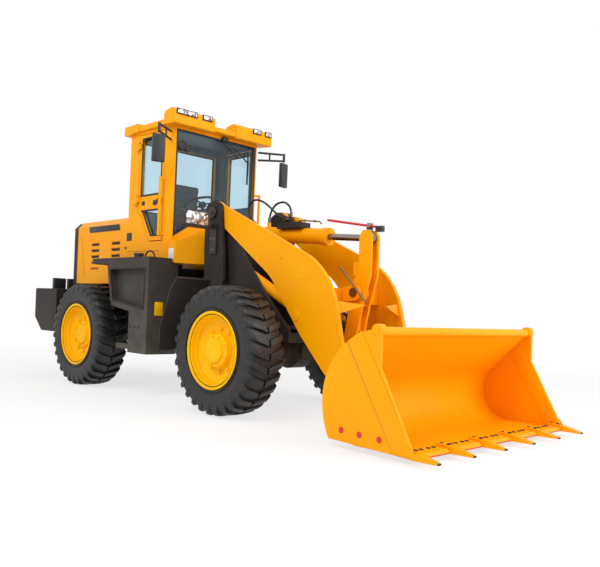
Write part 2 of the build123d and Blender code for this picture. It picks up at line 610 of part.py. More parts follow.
def tilt_valve():
    """A valve block saddled on the tilt cylinder, with a sloping cap and a port for the long hose."""
    x0, x1 = VALVE_X
    base = block((x0 - 5, 105), (-114, 40), (1715, VALVE_BASE_Z))
    body = block((x0, x1), (-62, 10), (VALVE_BASE_Z - 2, VALVE_TOP))
    cap = slab([(x1 - 2, VALVE_BASE_Z - 2), (x1 - 2, VALVE_TOP - 4), (20, 1818), (85, VALVE_BASE_Z - 2)],
               -55, 4)
    port = block((HOSE_A[-1][0], HOSE_A[-1][0] + 40), (-114, -86), (VALVE_BASE_Z - 2, 1814))
    saddle = bar(between(TILT_BASE, 0), between(CRANK_TOP, 0), TILT_BARREL_R + RUN)
    save("tilt_valve", joined(base, body, cap, port) - saddle)
    save("hose_a", hose(HOSE_A))
    save("hose_b", hose(HOSE_B))


def steer_cylinders():
    """Two level cylinders from the rear frame to the front frame, beside the pivot."""
    for hand, side in (("right", -1), ("left", 1)):
        base = Vector(PIVOT_X + STEER_BASE[0], side * STEER_BASE[1], STEER_Z)
        eye = Vector(PIVOT_X + STEER_EYE[0], side * STEER_EYE[1], STEER_Z)
        way = (eye - base).normalized()
        barrel = bar(base + way * 25, base + way * 65, 24) + bar(base + way * 60, base + way * 490, 38)
        barrel += post(base.X, base.Y, 38, STEER_Z - 28, STEER_Z + 28)
        barrel -= bar(base + way * 75, base + way * 495, STEER_ROD_R + RUN)
        barrel -= post(base.X, base.Y, 20 + RUN, STEER_Z - 60, STEER_Z + 60)
        save(f"steer_barrel_{hand}", barrel)
        rod = bar(eye - way * 440, eye - way * 20, STEER_ROD_R)
        rod += post(eye.X, eye.Y, 36, STEER_Z - 28, STEER_Z + 28)
        rod += post(eye.X, eye.Y, 18, STEER_Z - 30 + RUN, STEER_Z + 30 - RUN)
        save(f"steer_rod_{hand}", rod)


# ---------------------------------------------------------------- rear frame and body
def rear_frame():
    """Two side plates with cross members, fork lugs at the pivot and posts under the cab."""
    side = slab([
        (REAR_FRAME_END, 740, 30), (-2650, REAR_SEAT_Z), (-2250, REAR_SEAT_Z), (-1450, 640, 60),
        (-1400, 700, 20), (-1400, 1080, 40), (REAR_FRAME_END, 1100, 20),
    ], REAR_PLATE_IN, REAR_PLATE_IN + REAR_PLATE_T)
    shape = side + mirror(side, Plane.XZ)
    reach = REAR_PLATE_IN + 2
    fork_x = (PIVOT_X - 240, PIVOT_X - 200)
    for x, z in (((REAR_FRAME_END, REAR_FRAME_END + 35), (760, 1080)),
                 ((REAR_AXLE_X - 150, REAR_AXLE_X + 150), AXLE_PAD_Z),
                 (fork_x, (560, 1085)), ((-1900, -1860), (760, 1000))):
        shape += block(x, (-reach, reach), z)
    shape += block((REAR_AXLE_X - 130, REAR_AXLE_X + 130), (70 - ENGINE_HALF, ENGINE_HALF - 70),
                   (AXLE_PAD_Z[1] - 5, ENGINE_Z[0] - PAD_GAP))
    for x in (REAR_FRAME_END + 10, -2200):
        shape += block((x, x + 50), (2 - HOOD_HALF, HOOD_HALF - 2), (1060, HOOD_Z[0] - PAD_GAP))
    slot = block((fork_x[0] - 5, fork_x[1] + 5), (212, REAR_PLATE_IN), (STEER_Z - 56, STEER_Z + 56))
    shape -= joined(slot, mirror(slot, Plane.XZ))
    for z in LUG_Z:
        for gap in (-1, 1):
            low = z + gap * (LUG_T / 2 + 5) if gap > 0 else z - LUG_T / 2 - 5 - 32
            fork = deck([(fork_x[0], -150), (PIVOT_X, -LUG_R), (PIVOT_X, LUG_R), (fork_x[0], 150)],
                        low, low + 32)
            shape += fork + post(PIVOT_X, 0, LUG_R, low, low + 32)
        shape += post(PIVOT_X, 0, KING_PIN_R, z - LUG_T / 2 - 40, z + LUG_T / 2 + 40)
    bx, by = PIVOT_X + STEER_BASE[0], STEER_BASE[1]
    for z in (STEER_Z - 50, STEER_Z + 30):
        ear = block((bx - 40, bx + 40), (by, REAR_PLATE_IN + 2), (z, z + 20))
        ear += post(bx, by, 40, z, z + 20)
        shape += joined(ear, mirror(ear, Plane.XZ))
    king = post(bx, by, 20, STEER_Z - 40, STEER_Z + 40)
    shape += joined(king, mirror(king, Plane.XZ))
    for x in (-2010, -1480):
        leg = block((x, x + 70), (REAR_PLATE_IN - 70, REAR_PLATE_IN + 2), (1000, CAB_FLOOR_Z))
        shape += joined(leg, mirror(leg, Plane.XZ))
    return shape


def counterweight():
    front = REAR_FRAME_END - PAD_GAP
    tuck_x, tuck_z = COUNTER_TUCK
    return slab([
        (REAR_FACE_X, COUNTER_LOW + tuck_z, 30), (REAR_FACE_X + tuck_x, COUNTER_LOW, 40),
        (front, COUNTER_LOW, 20), (front, COUNTER_Z, 10), (REAR_FACE_X, COUNTER_Z, 30),
    ], -COUNTER_HALF, COUNTER_HALF)


def engine_hood():
    """A sheet-metal shell, open below and at the cab, closed behind by the grille panel."""
    z_low, z_high = HOOD_Z

    def shell(inset):
        low = z_low - (60 if inset else 0)
        wall, slope = HOOD_HALF - inset, HOOD_HALF - 70 - inset * 0.4
        outline = [(-wall, low), (-wall, z_high - inset - 70), (-slope, z_high - inset),
                   (slope, z_high - inset), (wall, z_high - inset - 70), (wall, low)]
        start = HOOD_REAR - inset
        wire = Wire.make_polygon([(start, y, z) for y, z in outline])
        return Solid.extrude(Face(wire), Vector(HOOD_FRONT - start + inset, 0, 0))

    shape = shell(0) - shell(SHEET)
    for column in (-2897, -2432):
        for row in range(3):
            z = 1467 + row * 72
            shape -= block((column, column + 184), (-HOOD_HALF - 10, HOOD_HALF + 10), (z - 15, z + 15))
    return shape


def rear_grille():
    """A deep dark frame that closes the hood behind, with slats in its window."""
    x0, x1 = HOOD_REAR - GRILLE_D, HOOD_REAR - PAD_GAP
    half, low, top = HOOD_HALF - SHEET / 2, COUNTER_Z + PAD_GAP, HOOD_Z[1] - SHEET / 2
    outline = [(-half, low), (half, low), (half, top - 66), (half - 66, top), (66 - half, top),
               (-half, top - 66)]
    frame = pane(outline, x0, x1 - x0)
    frame -= block((x0 - 5, x1 + 5), (-440, 440), (1250, 1770))
    for n in range(12):
        z = 1272 + n * 41
        frame += block((x0 + 20, x0 + 50), (-442, 442), (z, z + 20))
    return frame


def door_window(low, high):
    """A window's outline in the door: square above, cut off at its lower rear corner below."""
    front = DOOR_FRONT - 38
    if low > 2000:
        return [(DOOR_REAR + 48, low), (front, low), (front, high), (DOOR_REAR + 48, high)]
    return [(DOOR_REAR + 268, low), (front, low), (front, high), (DOOR_REAR + 62, high),
            (DOOR_REAR + 110, 1905)]


def door(side):
    """A framed door with two windows and hinge knuckles at its rear edge."""
    y_in, y_out = CAB_HALF - CAB_WALL + 5, CAB_HALF
    gap = DOOR_GAP
    edge = [
        (DOOR_REAR + gap, DOOR_TOP - gap), (DOOR_FRONT - gap, DOOR_TOP - gap),
        (DOOR_FRONT - gap, DOOR_SILL + gap), (DOOR_REAR + 243, DOOR_SILL + gap),
        (DOOR_REAR + 80 + gap, 1883), (DOOR_REAR + gap, 1937),
    ]
    shape = slab(edge, y_in, y_out)
    for low, high in DOOR_PANES:
        shape -= slab(door_window(low, high), y_in - 5, y_out + 5)
    hx, hy = DOOR_REAR, CAB_HALF + HINGE_OUT
    for z in HINGES_Z:
        knuckle = post(hx, hy, 17, z - 30, z + 30)
        arm = block((hx, DOOR_REAR + 44), (CAB_HALF - 2, CAB_HALF + 22), (z - 28, z + 28))
        shape += joined(knuckle, arm)
        shape -= post(hx, hy, HINGE_PIN_R + RUN, z - 40, z + 40)
    shape += block((DOOR_FRONT - 60, DOOR_FRONT - 20), (CAB_HALF - 2, CAB_HALF + 30), (1985, 2050))
    return shape if side > 0 else mirror(shape, Plane.XZ)


def door_glass(side):
    y = CAB_HALF - CAB_WALL / 2
    panes = [slab(door_window(low, high), y - GLASS / 2, y + GLASS / 2)
             for low, high in DOOR_PANES]
    shape = Compound(panes)
    return shape if side > 0 else mirror(shape, Plane.XZ)


def pane(outline, x, thick):
    """A flat sheet across the machine, from points (Y, Z)."""
    wire = Wire.make_polygon([(x, y, z) for y, z in outline])
    return Solid.extrude(Face(wire), Vector(thick, 0, 0))


def cab_prism(grow):
    """The cab's outer volume, grown sideways and forwards by a distance."""
    h, f = CAB_HALF + grow, CAB_FRONT + grow
    return deck([(CAB_REAR, -h), (f - CORNER, -h), (f, -h + CORNER), (f, h - CORNER),
                 (f - CORNER, h), (CAB_REAR, h)], CAB_FLOOR_Z, CAB_TOP_Z)


def cowl():
    """The sloping body in front of the windscreen, cut back at its sides for the turning towers."""
    plan = [(CAB_FRONT, -598), (-1180, -598), (-1130, -495), (COWL_FRONT, -300), (COWL_FRONT, 300),
            (-1130, 495), (-1180, 598), (CAB_FRONT, 598)]
    shape = deck(plan, CAB_FLOOR_Z, 1760)
    wire = Wire.make_polygon([(CAB_FRONT - 10, y, z) for y, z in (
        (-700, 1600), (-560, 1600), (-330, 1725), (330, 1725), (560, 1600), (700, 1600), (700, 1900),
        (-700, 1900))])
    shape -= Solid.extrude(Face(wire), Vector(400, 0, 0))
    return shape - block((CAB_FRONT - 10, COWL_FRONT - 60), (-270, 270), (CAB_FLOOR_Z + 30, 1640))


def cab_shell():
    """A hollow cab body: floor, walls and pillars, with door and window openings."""
    outer = cab_prism(0)
    wall = CAB_WALL
    outer -= block((CAB_REAR + wall, CAB_FRONT - wall), (-CAB_HALF + wall, CAB_HALF - wall),
                   (CAB_FLOOR_Z + 30, CAB_TOP_Z + 10))
    outer += cowl() - block((CAB_FRONT - 60, CAB_FRONT), (-CAB_HALF, CAB_HALF), (1000, 2000))
    opening = slab(DOOR_EDGE, CAB_HALF - wall - 10, CAB_HALF + 10)
    shape = outer - opening - mirror(opening, Plane.XZ)
    shape -= pane(FRONT_GLASS, CAB_FRONT - wall - 10, wall + 20)
    shape -= pane(REAR_GLASS, CAB_REAR - 10, wall + 20)
    hx, hy = DOOR_REAR, CAB_HALF + HINGE_OUT
    for z in HINGES_Z:
        stub = post(hx, hy, HINGE_PIN_R, z - 45, z + 45)
        for low in (z - 50, z + 30 + RUN):
            stub += post(hx, hy, 17, low, low + 20 - RUN)
            stub += block((hx - 40, hx), (CAB_HALF - 2, hy + 10), (low, low + 20 - RUN))
        shape += joined(stub, mirror(stub, Plane.XZ))
    return shape


def cab_glass():
    front = pane(FRONT_GLASS, CAB_FRONT - CAB_WALL / 2, GLASS)
    rear = pane(REAR_GLASS, CAB_REAR + CAB_WALL / 2, GLASS)
    return Compound([front, rear])


def cab_roof():
    """A thin cap with a raised pod at each corner."""
    low, high = ROOF_Z
    cap = slab([(ROOF_REAR + 15, low + 3, 15), (ROOF_FRONT - 15, low + 3, 15), (ROOF_FRONT - 15, high, 20),
                (ROOF_REAR + 15, high, 20)], 15 - ROOF_HALF, ROOF_HALF - 15)
    front = slab([(ROOF_FRONT - 205, low + 3, 15), (ROOF_FRONT, low - 12, 15), (ROOF_FRONT, POD_Z - 25, 30),
                  (ROOF_FRONT - 60, POD_Z, 30), (ROOF_FRONT - 195, POD_Z - 22, 40)], 150, ROOF_HALF)
    rear = slab([(ROOF_REAR, low - 18, 15), (ROOF_REAR + 285, low + 3, 15), (ROOF_REAR + 275, high + 28, 20),
                 (ROOF_REAR, high + 24, 25)], 420, ROOF_HALF)
    # the pods lap down outside the cab walls, which stay free of them
    pods = joined(front, rear) - cab_prism(PAD_GAP)
    rails = joined(cap, pods, mirror(pods, Plane.XZ))
    return rails


def lamps():
    """Four work lamps in the roof's front pods and two pairs of lamps on the counterweight."""
    x = ROOF_FRONT + 0.3
    items = [block((x, x + 14), y, ROOF_LAMP_Z) for y in (
        (-655, -392), (-325, -195), (380, 505), (560, 655))]
    top = COUNTER_Z + 0.3
    for y_low, y_high in ((540, 700), (395, 505)):
        lamp = block((REAR_FACE_X + 25, REAR_FACE_X + 85), (y_low, y_high), (top, 1213))
        items += [lamp, mirror(lamp, Plane.XZ)]
    return Compound(items)


def seat():
    cushion = block((-1960, -1540), (-240, 240), (1800, 1920))
    back = block((-2005, -1900), (-240, 240), (1800, 2420))
    base = block((-1940, -1600), (-200, 200), (CAB_FLOOR_Z + 30, 1800))
    return joined(cushion, back, base)


def dashboard():
    return slab([(-1345, CAB_FLOOR_Z + 30), (-1345, 1780, 30), (-1440, 1800, 30), (-1500, 1720, 30),
                 (-1480, CAB_FLOOR_Z + 30)], -260, 260)


def steering_wheel():
    """A wheel on a leaning column from the dashboard."""
    foot, head = Vector(-1440, 0, 1740), Vector(-1545, 0, 2075)
    way = (head - foot).normalized()
    shape = bar(foot, head, 26)
    torus = Solid.make_torus(190, 14, Plane(origin=head, z_dir=way))
    spokes = bar(head + Vector(0, -190, 0), head + Vector(0, 190, 0), 9)
    return joined(shape, torus, spokes) - dashboard()


def platform(side):
    """Tank and step box beside the cab, with a rim round its top."""
    x0, x1 = -2307.0, PLATFORM_FRONT
    top = block((x0, x1), (CAB_HALF + 5, PLATFORM_OUT), (PLATFORM_Z - 60, PLATFORM_Z))
    body = slab([(-1990, PLATFORM_Z - 60), (-1882, 909), (-1205, 810), (x1, 810), (x1, PLATFORM_Z - 60)],
                PLATFORM_IN, PLATFORM_OUT)
    foot = block((-1517, x1), (PLATFORM_IN, PLATFORM_OUT), (435, 860))
    step = block((-1749, -1510), (PLATFORM_OUT - 200, PLATFORM_OUT), (466, 518))
    shape = joined(top, body, foot, step)
    shape -= slab([(-1930, PLATFORM_Z - 110), (-1850, 960), (-1240, 880), (-1240, PLATFORM_Z - 110)],
                  PLATFORM_OUT - 70, PLATFORM_OUT + 10)
    link = block((-1700, -1600), (REAR_PLATE_IN + REAR_PLATE_T, PLATFORM_IN), (940, 1040))
    shape += link
    return shape if side > 0 else mirror(shape, Plane.XZ)


def mirrors():
    """A mirror on two tubes from each front pillar, its outer edge turned back."""
    x, y = MIRROR_AT
    low, high = MIRROR_Z
    head = block((-20, 20), (-MIRROR_W / 2, MIRROR_W / 2), (low, high)).rotate(Axis.Z, MIRROR_TURN)
    head = head.moved(Location((x, y, 0)))
    stem = post(x, y, 14, high - 25, high + 116)
    for z_foot, z_head in ((high + 103, high + 100), (high + 15, high + 32)):
        stem += bar((CAB_FRONT - 20, 575, z_foot), (x, y, z_head), 11)
    return both(head + stem - cab_prism(PAD_GAP))


def grab_rails():
    x, y = -1362, CAB_HALF + 66
    rail = post(x, y, 14, 1649, 2254)
    for z in (1663, 2240):
        rail += bar((x, y, z), (x - 10, CAB_HALF - 10, z), 12)
    return both(rail - cab_prism(PAD_GAP))


def write_all():
    wheels()
    save("front_axle", axle(0.0, FRONT_SEAT_Z, FRONT_IN + PLATE / 2))
    save("rear_axle", axle(REAR_AXLE_X, REAR_SEAT_Z, REAR_PLATE_IN + REAR_PLATE_T / 2))
    save("front_frame", front_frame())
    save("front_fenders", front_fenders())
    save("headlamps", headlamps())
    save("boom", boom())
    save("bellcrank", bellcrank())
    save("crank_pin", pin(CRANK_PIN, CRANK_PIN_R, -105, 105))
    save("foot_pin", pin(CRANK_FOOT, SMALL_PIN_R, -66, 66))
    save("bucket_link", bucket_link())
    save("bucket_pins", both(pin(BUCKET_PIN, BUCKET_PIN_R, ARM_IN - 50, ARM_OUT + 50)))
    save("bucket", bucket())
    save("bucket_edge", bucket_edge())
    arm_cylinders()
    tilt_valve()
    steer_cylinders()
    save("rear_frame", rear_frame())
    save("counterweight", counterweight())
    save("engine_block", block(ENGINE_X, (-ENGINE_HALF, ENGINE_HALF), ENGINE_Z))
    save("engine_hood", engine_hood())
    save("rear_grille", rear_grille())
    save("cab_shell", cab_shell())
    save("cab_glass", cab_glass())
    save("cab_roof", cab_roof())
    save("lamps", lamps())
    save("seat", seat())
    save("dashboard", dashboard())
    save("steering_wheel", steering_wheel())
    for hand, side in (("right", -1), ("left", 1)):
        save(f"door_{hand}", door(side))
        save(f"door_glass_{hand}", door_glass(side))
        save(f"platform_{hand}", platform(side))
    save("mirrors", mirrors())
    save("grab_rails", grab_rails())


write_all()
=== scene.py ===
import json
import math

import bmesh
import bpy
from mathutils import Matrix, Vector


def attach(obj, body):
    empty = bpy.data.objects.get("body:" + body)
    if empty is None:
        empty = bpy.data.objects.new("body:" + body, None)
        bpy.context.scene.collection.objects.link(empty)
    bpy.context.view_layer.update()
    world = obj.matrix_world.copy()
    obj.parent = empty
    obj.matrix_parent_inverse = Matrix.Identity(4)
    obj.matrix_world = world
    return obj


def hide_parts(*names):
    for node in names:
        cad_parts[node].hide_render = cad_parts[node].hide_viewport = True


# An articulated wheel loader. Sizes written with MM are millimetres ahead of the front axle,
# left of the middle plane and above the ground.

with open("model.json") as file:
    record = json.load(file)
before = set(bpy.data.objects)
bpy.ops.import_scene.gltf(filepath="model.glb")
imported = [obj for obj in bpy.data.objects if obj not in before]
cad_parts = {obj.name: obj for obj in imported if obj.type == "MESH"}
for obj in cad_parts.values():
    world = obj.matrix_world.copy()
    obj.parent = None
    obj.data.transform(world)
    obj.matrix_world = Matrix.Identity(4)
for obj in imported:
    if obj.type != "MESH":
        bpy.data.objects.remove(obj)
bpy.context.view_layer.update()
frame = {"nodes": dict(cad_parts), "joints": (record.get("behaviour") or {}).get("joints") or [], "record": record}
nodes = frame["nodes"]
joints = {j["name"]: Vector(j["pos_m"]) for j in frame["joints"] if "pos_m" in j}
FRONT_AXLE = joints["wheel_front_right_spin"].x
MM = 0.001


def at(x, y, z):
    """A place given in millimetres, as the scene's own coordinates."""
    return Vector((FRONT_AXLE + x * MM, y * MM, z * MM))


# ---------------------------------------------------------------- materials
def colour(code):
    """An sRGB hex value as the linear colour a shader takes."""
    def linear(part):
        value = int(part, 16) / 255
        return value / 12.92 if value <= 0.04045 else ((value + 0.055) / 1.055) ** 2.4
    return (*[linear(code[i:i + 2]) for i in (1, 3, 5)], 1.0)


def add(tree, kind, inputs=None, **settings):
    """One shader node. inputs maps a socket to a value, or to the output that feeds it."""
    node = tree.nodes.new("ShaderNode" + kind)
    for name, value in settings.items():
        setattr(node, name, value)
    for key, value in (inputs or {}).items():
        if isinstance(value, bpy.types.NodeSocket):
            tree.links.new(value, node.inputs[key])
        else:
            node.inputs[key].default_value = value
    return node


def blank(name):
    """An empty material with its output node, and the Object coordinates its patterns use."""
    material = bpy.data.materials.new(name)
    material.use_nodes = True
    tree = material.node_tree
    tree.nodes.clear()
    place = add(tree, "TexCoord").outputs["Object"]
    return material, tree, place


def show(tree, shader):
    """Sends a shader to the material's output."""
    add(tree, "OutputMaterial", {"Surface": shader.outputs[0]})


def noise(tree, place, size_mm, detail=3.0):
    """Cloudy variation whose blotches are about size_mm across."""
    pattern = add(tree, "TexNoise", {"Vector": place, "Scale": 1000.0 / size_mm, "Detail": detail})
    return pattern.outputs["Fac"]


def graded(tree, factor, low, high, colours):
    """A colour ramp between two positions of a factor."""
    ramp = add(tree, "ValToRGB", {"Fac": factor})
    ramp.color_ramp.elements[0].position, ramp.color_ramp.elements[1].position = low, high
    ramp.color_ramp.elements[0].color, ramp.color_ramp.elements[1].color = map(colour, colours)
    return ramp.outputs["Color"]


def within(tree, place, low, high):
    """1 inside a box given by two corners, else 0."""
    middle, half = (low + high) / 2, (high - low) / 2
    moved = add(tree, "VectorMath", {0: place, 1: middle}, operation="SUBTRACT").outputs[0]
    share = add(tree, "VectorMath", {0: moved, 1: half}, operation="DIVIDE").outputs[0]
    size = add(tree, "VectorMath", {0: share}, operation="ABSOLUTE").outputs[0]
    parts = add(tree, "SeparateXYZ", {0: size})
    wide = add(tree, "Math", {0: parts.outputs[0], 1: parts.outputs[1]}, operation="MAXIMUM").outputs[0]
    most = add(tree, "Math", {0: wide, 1: parts.outputs[2]}, operation="MAXIMUM").outputs[0]
    return add(tree, "Math", {0: most, 1: 1.0}, operation="LESS_THAN").outputs[0]


def mixed(tree, factor, first, second):
    """Two colours, codes or sockets, mixed by a factor."""
    mix = add(tree, "Mix", data_type="RGBA")
    for socket, value in ((mix.inputs[0], factor), (mix.inputs[6], first), (mix.inputs[7], second)):
        if isinstance(value, bpy.types.NodeSocket):
            tree.links.new(value, socket)
        else:
            socket.default_value = colour(value) if isinstance(value, str) else value
    return mix.outputs[2]


def bumped(tree, height, depth_mm, rounding_mm=0.0):
    """A surface normal from a height pattern, over edges rounded by a small radius."""
    inputs = {"Height": height, "Strength": 1.0, "Distance": depth_mm * MM}
    if rounding_mm:
        inputs["Normal"] = add(tree, "Bevel", {"Radius": rounding_mm * MM}, samples=4).outputs[0]
    return add(tree, "Bump", inputs).outputs[0]


def enamel(name, fresh, shade, low_colour, gloss, lining=None, low_reach=1.0):
    """Sprayed machine enamel: a faint orange peel, slow colour drift and patches of a second colour low down,
    darker on the yellows and lighter on the greys.
    """
    material, tree, place = blank(name)
    drift = graded(tree, noise(tree, place, 700), 0.35, 0.7, (shade, fresh))
    # low down the colour turns in patches to a second colour: darker on the yellows, lighter on the greys
    height = add(tree, "SeparateXYZ", {0: place}).outputs[2]
    low = add(tree, "MapRange", {0: height, 1: 0.0, 2: low_reach, 3: 0.4 * low_reach, 4: 0.0}).outputs[0]
    patches = add(tree, "Math", {0: noise(tree, place, 160, 6.0), 1: low}, operation="MULTIPLY").outputs[0]
    skin = mixed(tree, patches, drift, low_colour)
    if lining:
        skin = mixed(tree, within(tree, place, *lining[1:]), skin, lining[0])
    # orange peel is 2 to 4 mm across; drawn at 6 mm it shows as a soft break in the gloss
    peel = noise(tree, place, 6, 1.0)
    shader = add(tree, "BsdfPrincipled", {
        "Base Color": skin, "Roughness": gloss, "IOR": 1.45, "Specular IOR Level": 0.16,
        "Normal": bumped(tree, peel, 0.06, 4.0)})
    show(tree, shader)
    return material


def plain(name, base, roughness, metallic=0.0, speckle=0.0, spots_mm=40.0, grain_mm=2.0, depth_mm=0.05,
          ior=1.5):
    """A moulded, turned or painted finish with a fine grain and slight patches."""
    material, tree, place = blank(name)
    patches = noise(tree, place, spots_mm)
    skin = mixed(tree, patches, base, speckle or base)
    shader = add(tree, "BsdfPrincipled", {
        "Base Color": skin, "Metallic": metallic, "Roughness": roughness,
        "Normal": bumped(tree, noise(tree, place, grain_mm), depth_mm, 1.5)})
    if not metallic:
        shader.inputs["IOR"].default_value = ior
    show(tree, shader)
    return material


def window_glass(name, tint):
    """Toughened cab glass, tinted in the mass: it passes most light and mirrors the sky at a slant."""
    material, tree, place = blank(name)
    clear = add(tree, "BsdfTransparent", {"Color": colour(tint)})
    mirror = add(tree, "BsdfGlossy", {"Color": colour("#ffffff"), "Roughness": 0.03})
    facing = add(tree, "LayerWeight", {"Blend": 0.5}).outputs["Facing"]
    steep = add(tree, "Math", {0: facing, 1: 4.0}, operation="POWER").outputs[0]
    slant = add(tree, "MapRange", {0: steep, 1: 0.0, 2: 1.0, 3: 0.03, 4: 0.6})
    show(tree, add(tree, "MixShader", {0: slant.outputs[0], 1: clear.outputs[0], 2: mirror.outputs[0]}))
    return material


def painted_glint_lens(name):
    """A pressed lens over a bright reflector: small facets painted light and dark by turns, as painted glints and
    painted shade.
    """
    material, tree, place = blank(name)
    cells = add(tree, "TexVoronoi", {"Vector": place, "Scale": 1000 / 22}).outputs["Color"]
    glint_tone = add(tree, "SeparateXYZ", {0: cells}).outputs[0]
    # facet colours from near black to near white: painted glints and painted shade
    skin = graded(tree, glint_tone, 0.1, 0.9, ("#4a403c", "#fbf3ef"))
    show(tree, add(tree, "BsdfPrincipled", {
        "Base Color": skin, "Metallic": 0.35, "Roughness": 0.12, "Coat Weight": 0.6,
        "Normal": bumped(tree, glint_tone, 0.6)}))
    return material


def tread_rubber(name):
    """Carbon-black tyre rubber: matt, in random blotches of near black and dark grey."""
    material, tree, place = blank(name)
    skin = graded(tree, noise(tree, place, 60, 6.0), 0.35, 0.75, ("#0d0c0b", "#1c1a18"))
    shader = add(tree, "BsdfPrincipled", {
        "Base Color": skin, "Roughness": 0.5, "IOR": 1.52,
        "Normal": bumped(tree, noise(tree, place, 5, 4.0), 0.5, 4.0)})
    show(tree, shader)
    return material


cab_low, cab_high = at(-2015.5, -584, 1390), at(-1344.5, 584, 2806)
LINING = ("#46606c", cab_low, cab_high)
YELLOW = enamel("machine_yellow_enamel", "#ffac00", "#ffa400", "#e08e04", 0.38)
RIM_YELLOW = enamel("wheel_yellow_enamel", "#ffc400", "#ffbb00", "#e8a808", 0.38)
CAB_YELLOW = enamel("cab_yellow_enamel", "#ffac00", "#ffa302", "#e08e04", 0.38, LINING)
FRAME_GREY = enamel("chassis_grey_enamel", "#38322f", "#2f2a28", "#565044", 0.5)
PLATFORM_GREY = enamel("scuffed_platform_enamel", "#3b3531", "#312c2a", "#8a8478", 0.5, low_reach=1.7)
# lamp lenses whose facets carry painted glints
GLINT_PAINTED_LENS = painted_glint_lens("lamp_lens_painted_glints")
RUBBER = tread_rubber("tyre_rubber")
GLASS = window_glass("tinted_toughened_glass", "#ecf5f9")
CHROME = plain("hard_chrome_plate", "#9b9490", 0.16, 1.0, "#8a827e", 30, 1.2, 0.01)
STEEL = plain("turned_pin_steel", "#77726c", 0.35, 1.0, "#625c56", 15, 1.0, 0.03)
ABS = plain("moulded_black_abs", "#1d1d1e", 0.5, 0.0, "#252526", 50, 1.5, 0.12)
LENS = plain("clear_polycarbonate_lens", "#dfe3e6", 0.12, 0.0, "#c9cdd1", 30, 8, 0.4, 1.58)
RED = plain("signal_red_enamel", "#d8291c", 0.35, 0.0, "#c42217", 30, 3, 0.05)
VINYL = plain("grained_black_vinyl", "#2c2d30", 0.6, 0.0, "#37383b", 60, 3, 0.35)
HOSE = plain("braided_hose_rubber", "#171717", 0.6, 0.0, "#212121", 20, 2.5, 0.25)
CAST = plain("worn_tooth_steel", "#8f7a55", 0.5, 0.6, "#6b5c48", 25, 3, 0.2)
# black oxide steel; beside the bucket's side strips and across the rear grille it is painted shadow
DARK_STEEL_AND_PAINTED_SHADE = plain("black_oxide_steel_and_painted_shade", "#2b2725", 0.5, 0.3, "#3a3430", 25, 2, 0.1)
# black rubber; behind the hood's louvres it is painted shade
BLACK_RUBBER_AND_PAINTED_SHADE = plain("extruded_black_rubber_and_painted_shade", "#141416", 0.6, 0.0, "#1d1d1f", 40, 3, 0.1)
# shut-line enamel; over the lower louvre slots it is painted shade
SHUT_LINE_AND_SLOT_SHADE = plain("shut_line_and_slot_shade_enamel", "#8a4a06", 0.6, 0.0, "#7a4106", 40, 3, 0.02)
WHITE = plain("blank_white_label_film", "#efeeea", 0.35, 0.0, "#e2e0da", 60, 8, 0.02)
MIRROR_GLASS = plain("silvered_mirror", "#a9a7a5", 0.08, 1.0, "#9a9896", 60, 30, 0.01)

SLOT_LOOKS = {
    "frame_grey": FRAME_GREY, "body_yellow": YELLOW, "rubber_black": RUBBER, "glass": GLASS,
    "chrome_rod": CHROME, "pin_steel": STEEL, "black_plastic": ABS, "lamp_clear": LENS,
    "rail_yellow": YELLOW, "seat_vinyl": VINYL, "indicator_red": RED, "hose_rubber": HOSE,
}
SPECIAL = dict.fromkeys(("cab_shell", "cab_roof", "door_right", "door_left"), CAB_YELLOW)
SPECIAL.update(platform_right=PLATFORM_GREY, platform_left=PLATFORM_GREY)
for part in frame["record"]["subparts"]:
    mesh = nodes[part["node"]].data
    mesh.materials.clear()
    mesh.materials.append(SPECIAL.get(part["node"], SLOT_LOOKS[part["material_slot"]]))


# ---------------------------------------------------------------- shaping tools
def rod(bm, start, end, radius, end_radius=None, segments=24):
    """A closed round bar or cone between two points."""
    start, end = at(*start), at(*end)
    way = end - start
    turn = Vector((0, 0, 1)).rotation_difference(way).to_matrix().to_4x4()
    made = bmesh.ops.create_cone(
        bm, cap_ends=True, segments=segments, radius1=radius * MM,
        radius2=(radius if end_radius is None else end_radius) * MM, depth=way.length,
        matrix=Matrix.Translation((start + end) / 2) @ turn)
    return made["verts"]


def tube(bm, points, radius, segments=16):
    """A bar along several points, with a ball at each turn."""
    for start, end in zip(points, points[1:]):
        rod(bm, start, end, radius, segments=segments)
    for point in points[1:-1]:
        bmesh.ops.create_icosphere(bm, subdivisions=2, radius=radius * MM,
                                   matrix=Matrix.Translation(at(*point)))


def arch(start, end, rise, steps=10):
    """Points of a hoop that stands on two feet."""
    return [tuple(a + (b - a) * t + (rise if k == 2 else 0) * math.sin(math.pi * t) ** 0.5
                  for k, (a, b) in enumerate(zip(start, end)))
            for t in [n / steps for n in range(steps + 1)]]


def brick(bm, x, y, z):
    """A closed box from its (low, high) pairs."""
    low, high = at(x[0], y[0], z[0]), at(x[1], y[1], z[1])
    place = Matrix.Translation((low + high) / 2) @ Matrix.Diagonal((*(high - low), 1.0))
    return bmesh.ops.create_cube(bm, size=1.0, matrix=place)["verts"]


def plate(bm, outline, push):
    """A flat plate from the points of its outline, given its thickness by a push."""
    face = bm.faces.new([bm.verts.new(at(*p)) for p in outline])
    made = bmesh.ops.extrude_face_region(bm, geom=[face])["geom"]
    top = [v for v in made if isinstance(v, bmesh.types.BMVert)]
    bmesh.ops.translate(bm, verts=top, vec=Vector(push) * MM)


def side_plate(bm, outline, y, thick):
    """A plate that stands lengthwise, from points (X, Z)."""
    plate(bm, [(x, y, z) for x, z in outline], (0, thick, 0))


def cross_plate(bm, outline, x, thick):
    """A plate that stands across the machine, from points (Y, Z)."""
    plate(bm, [(x, y, z) for y, z in outline], (thick, 0, 0))


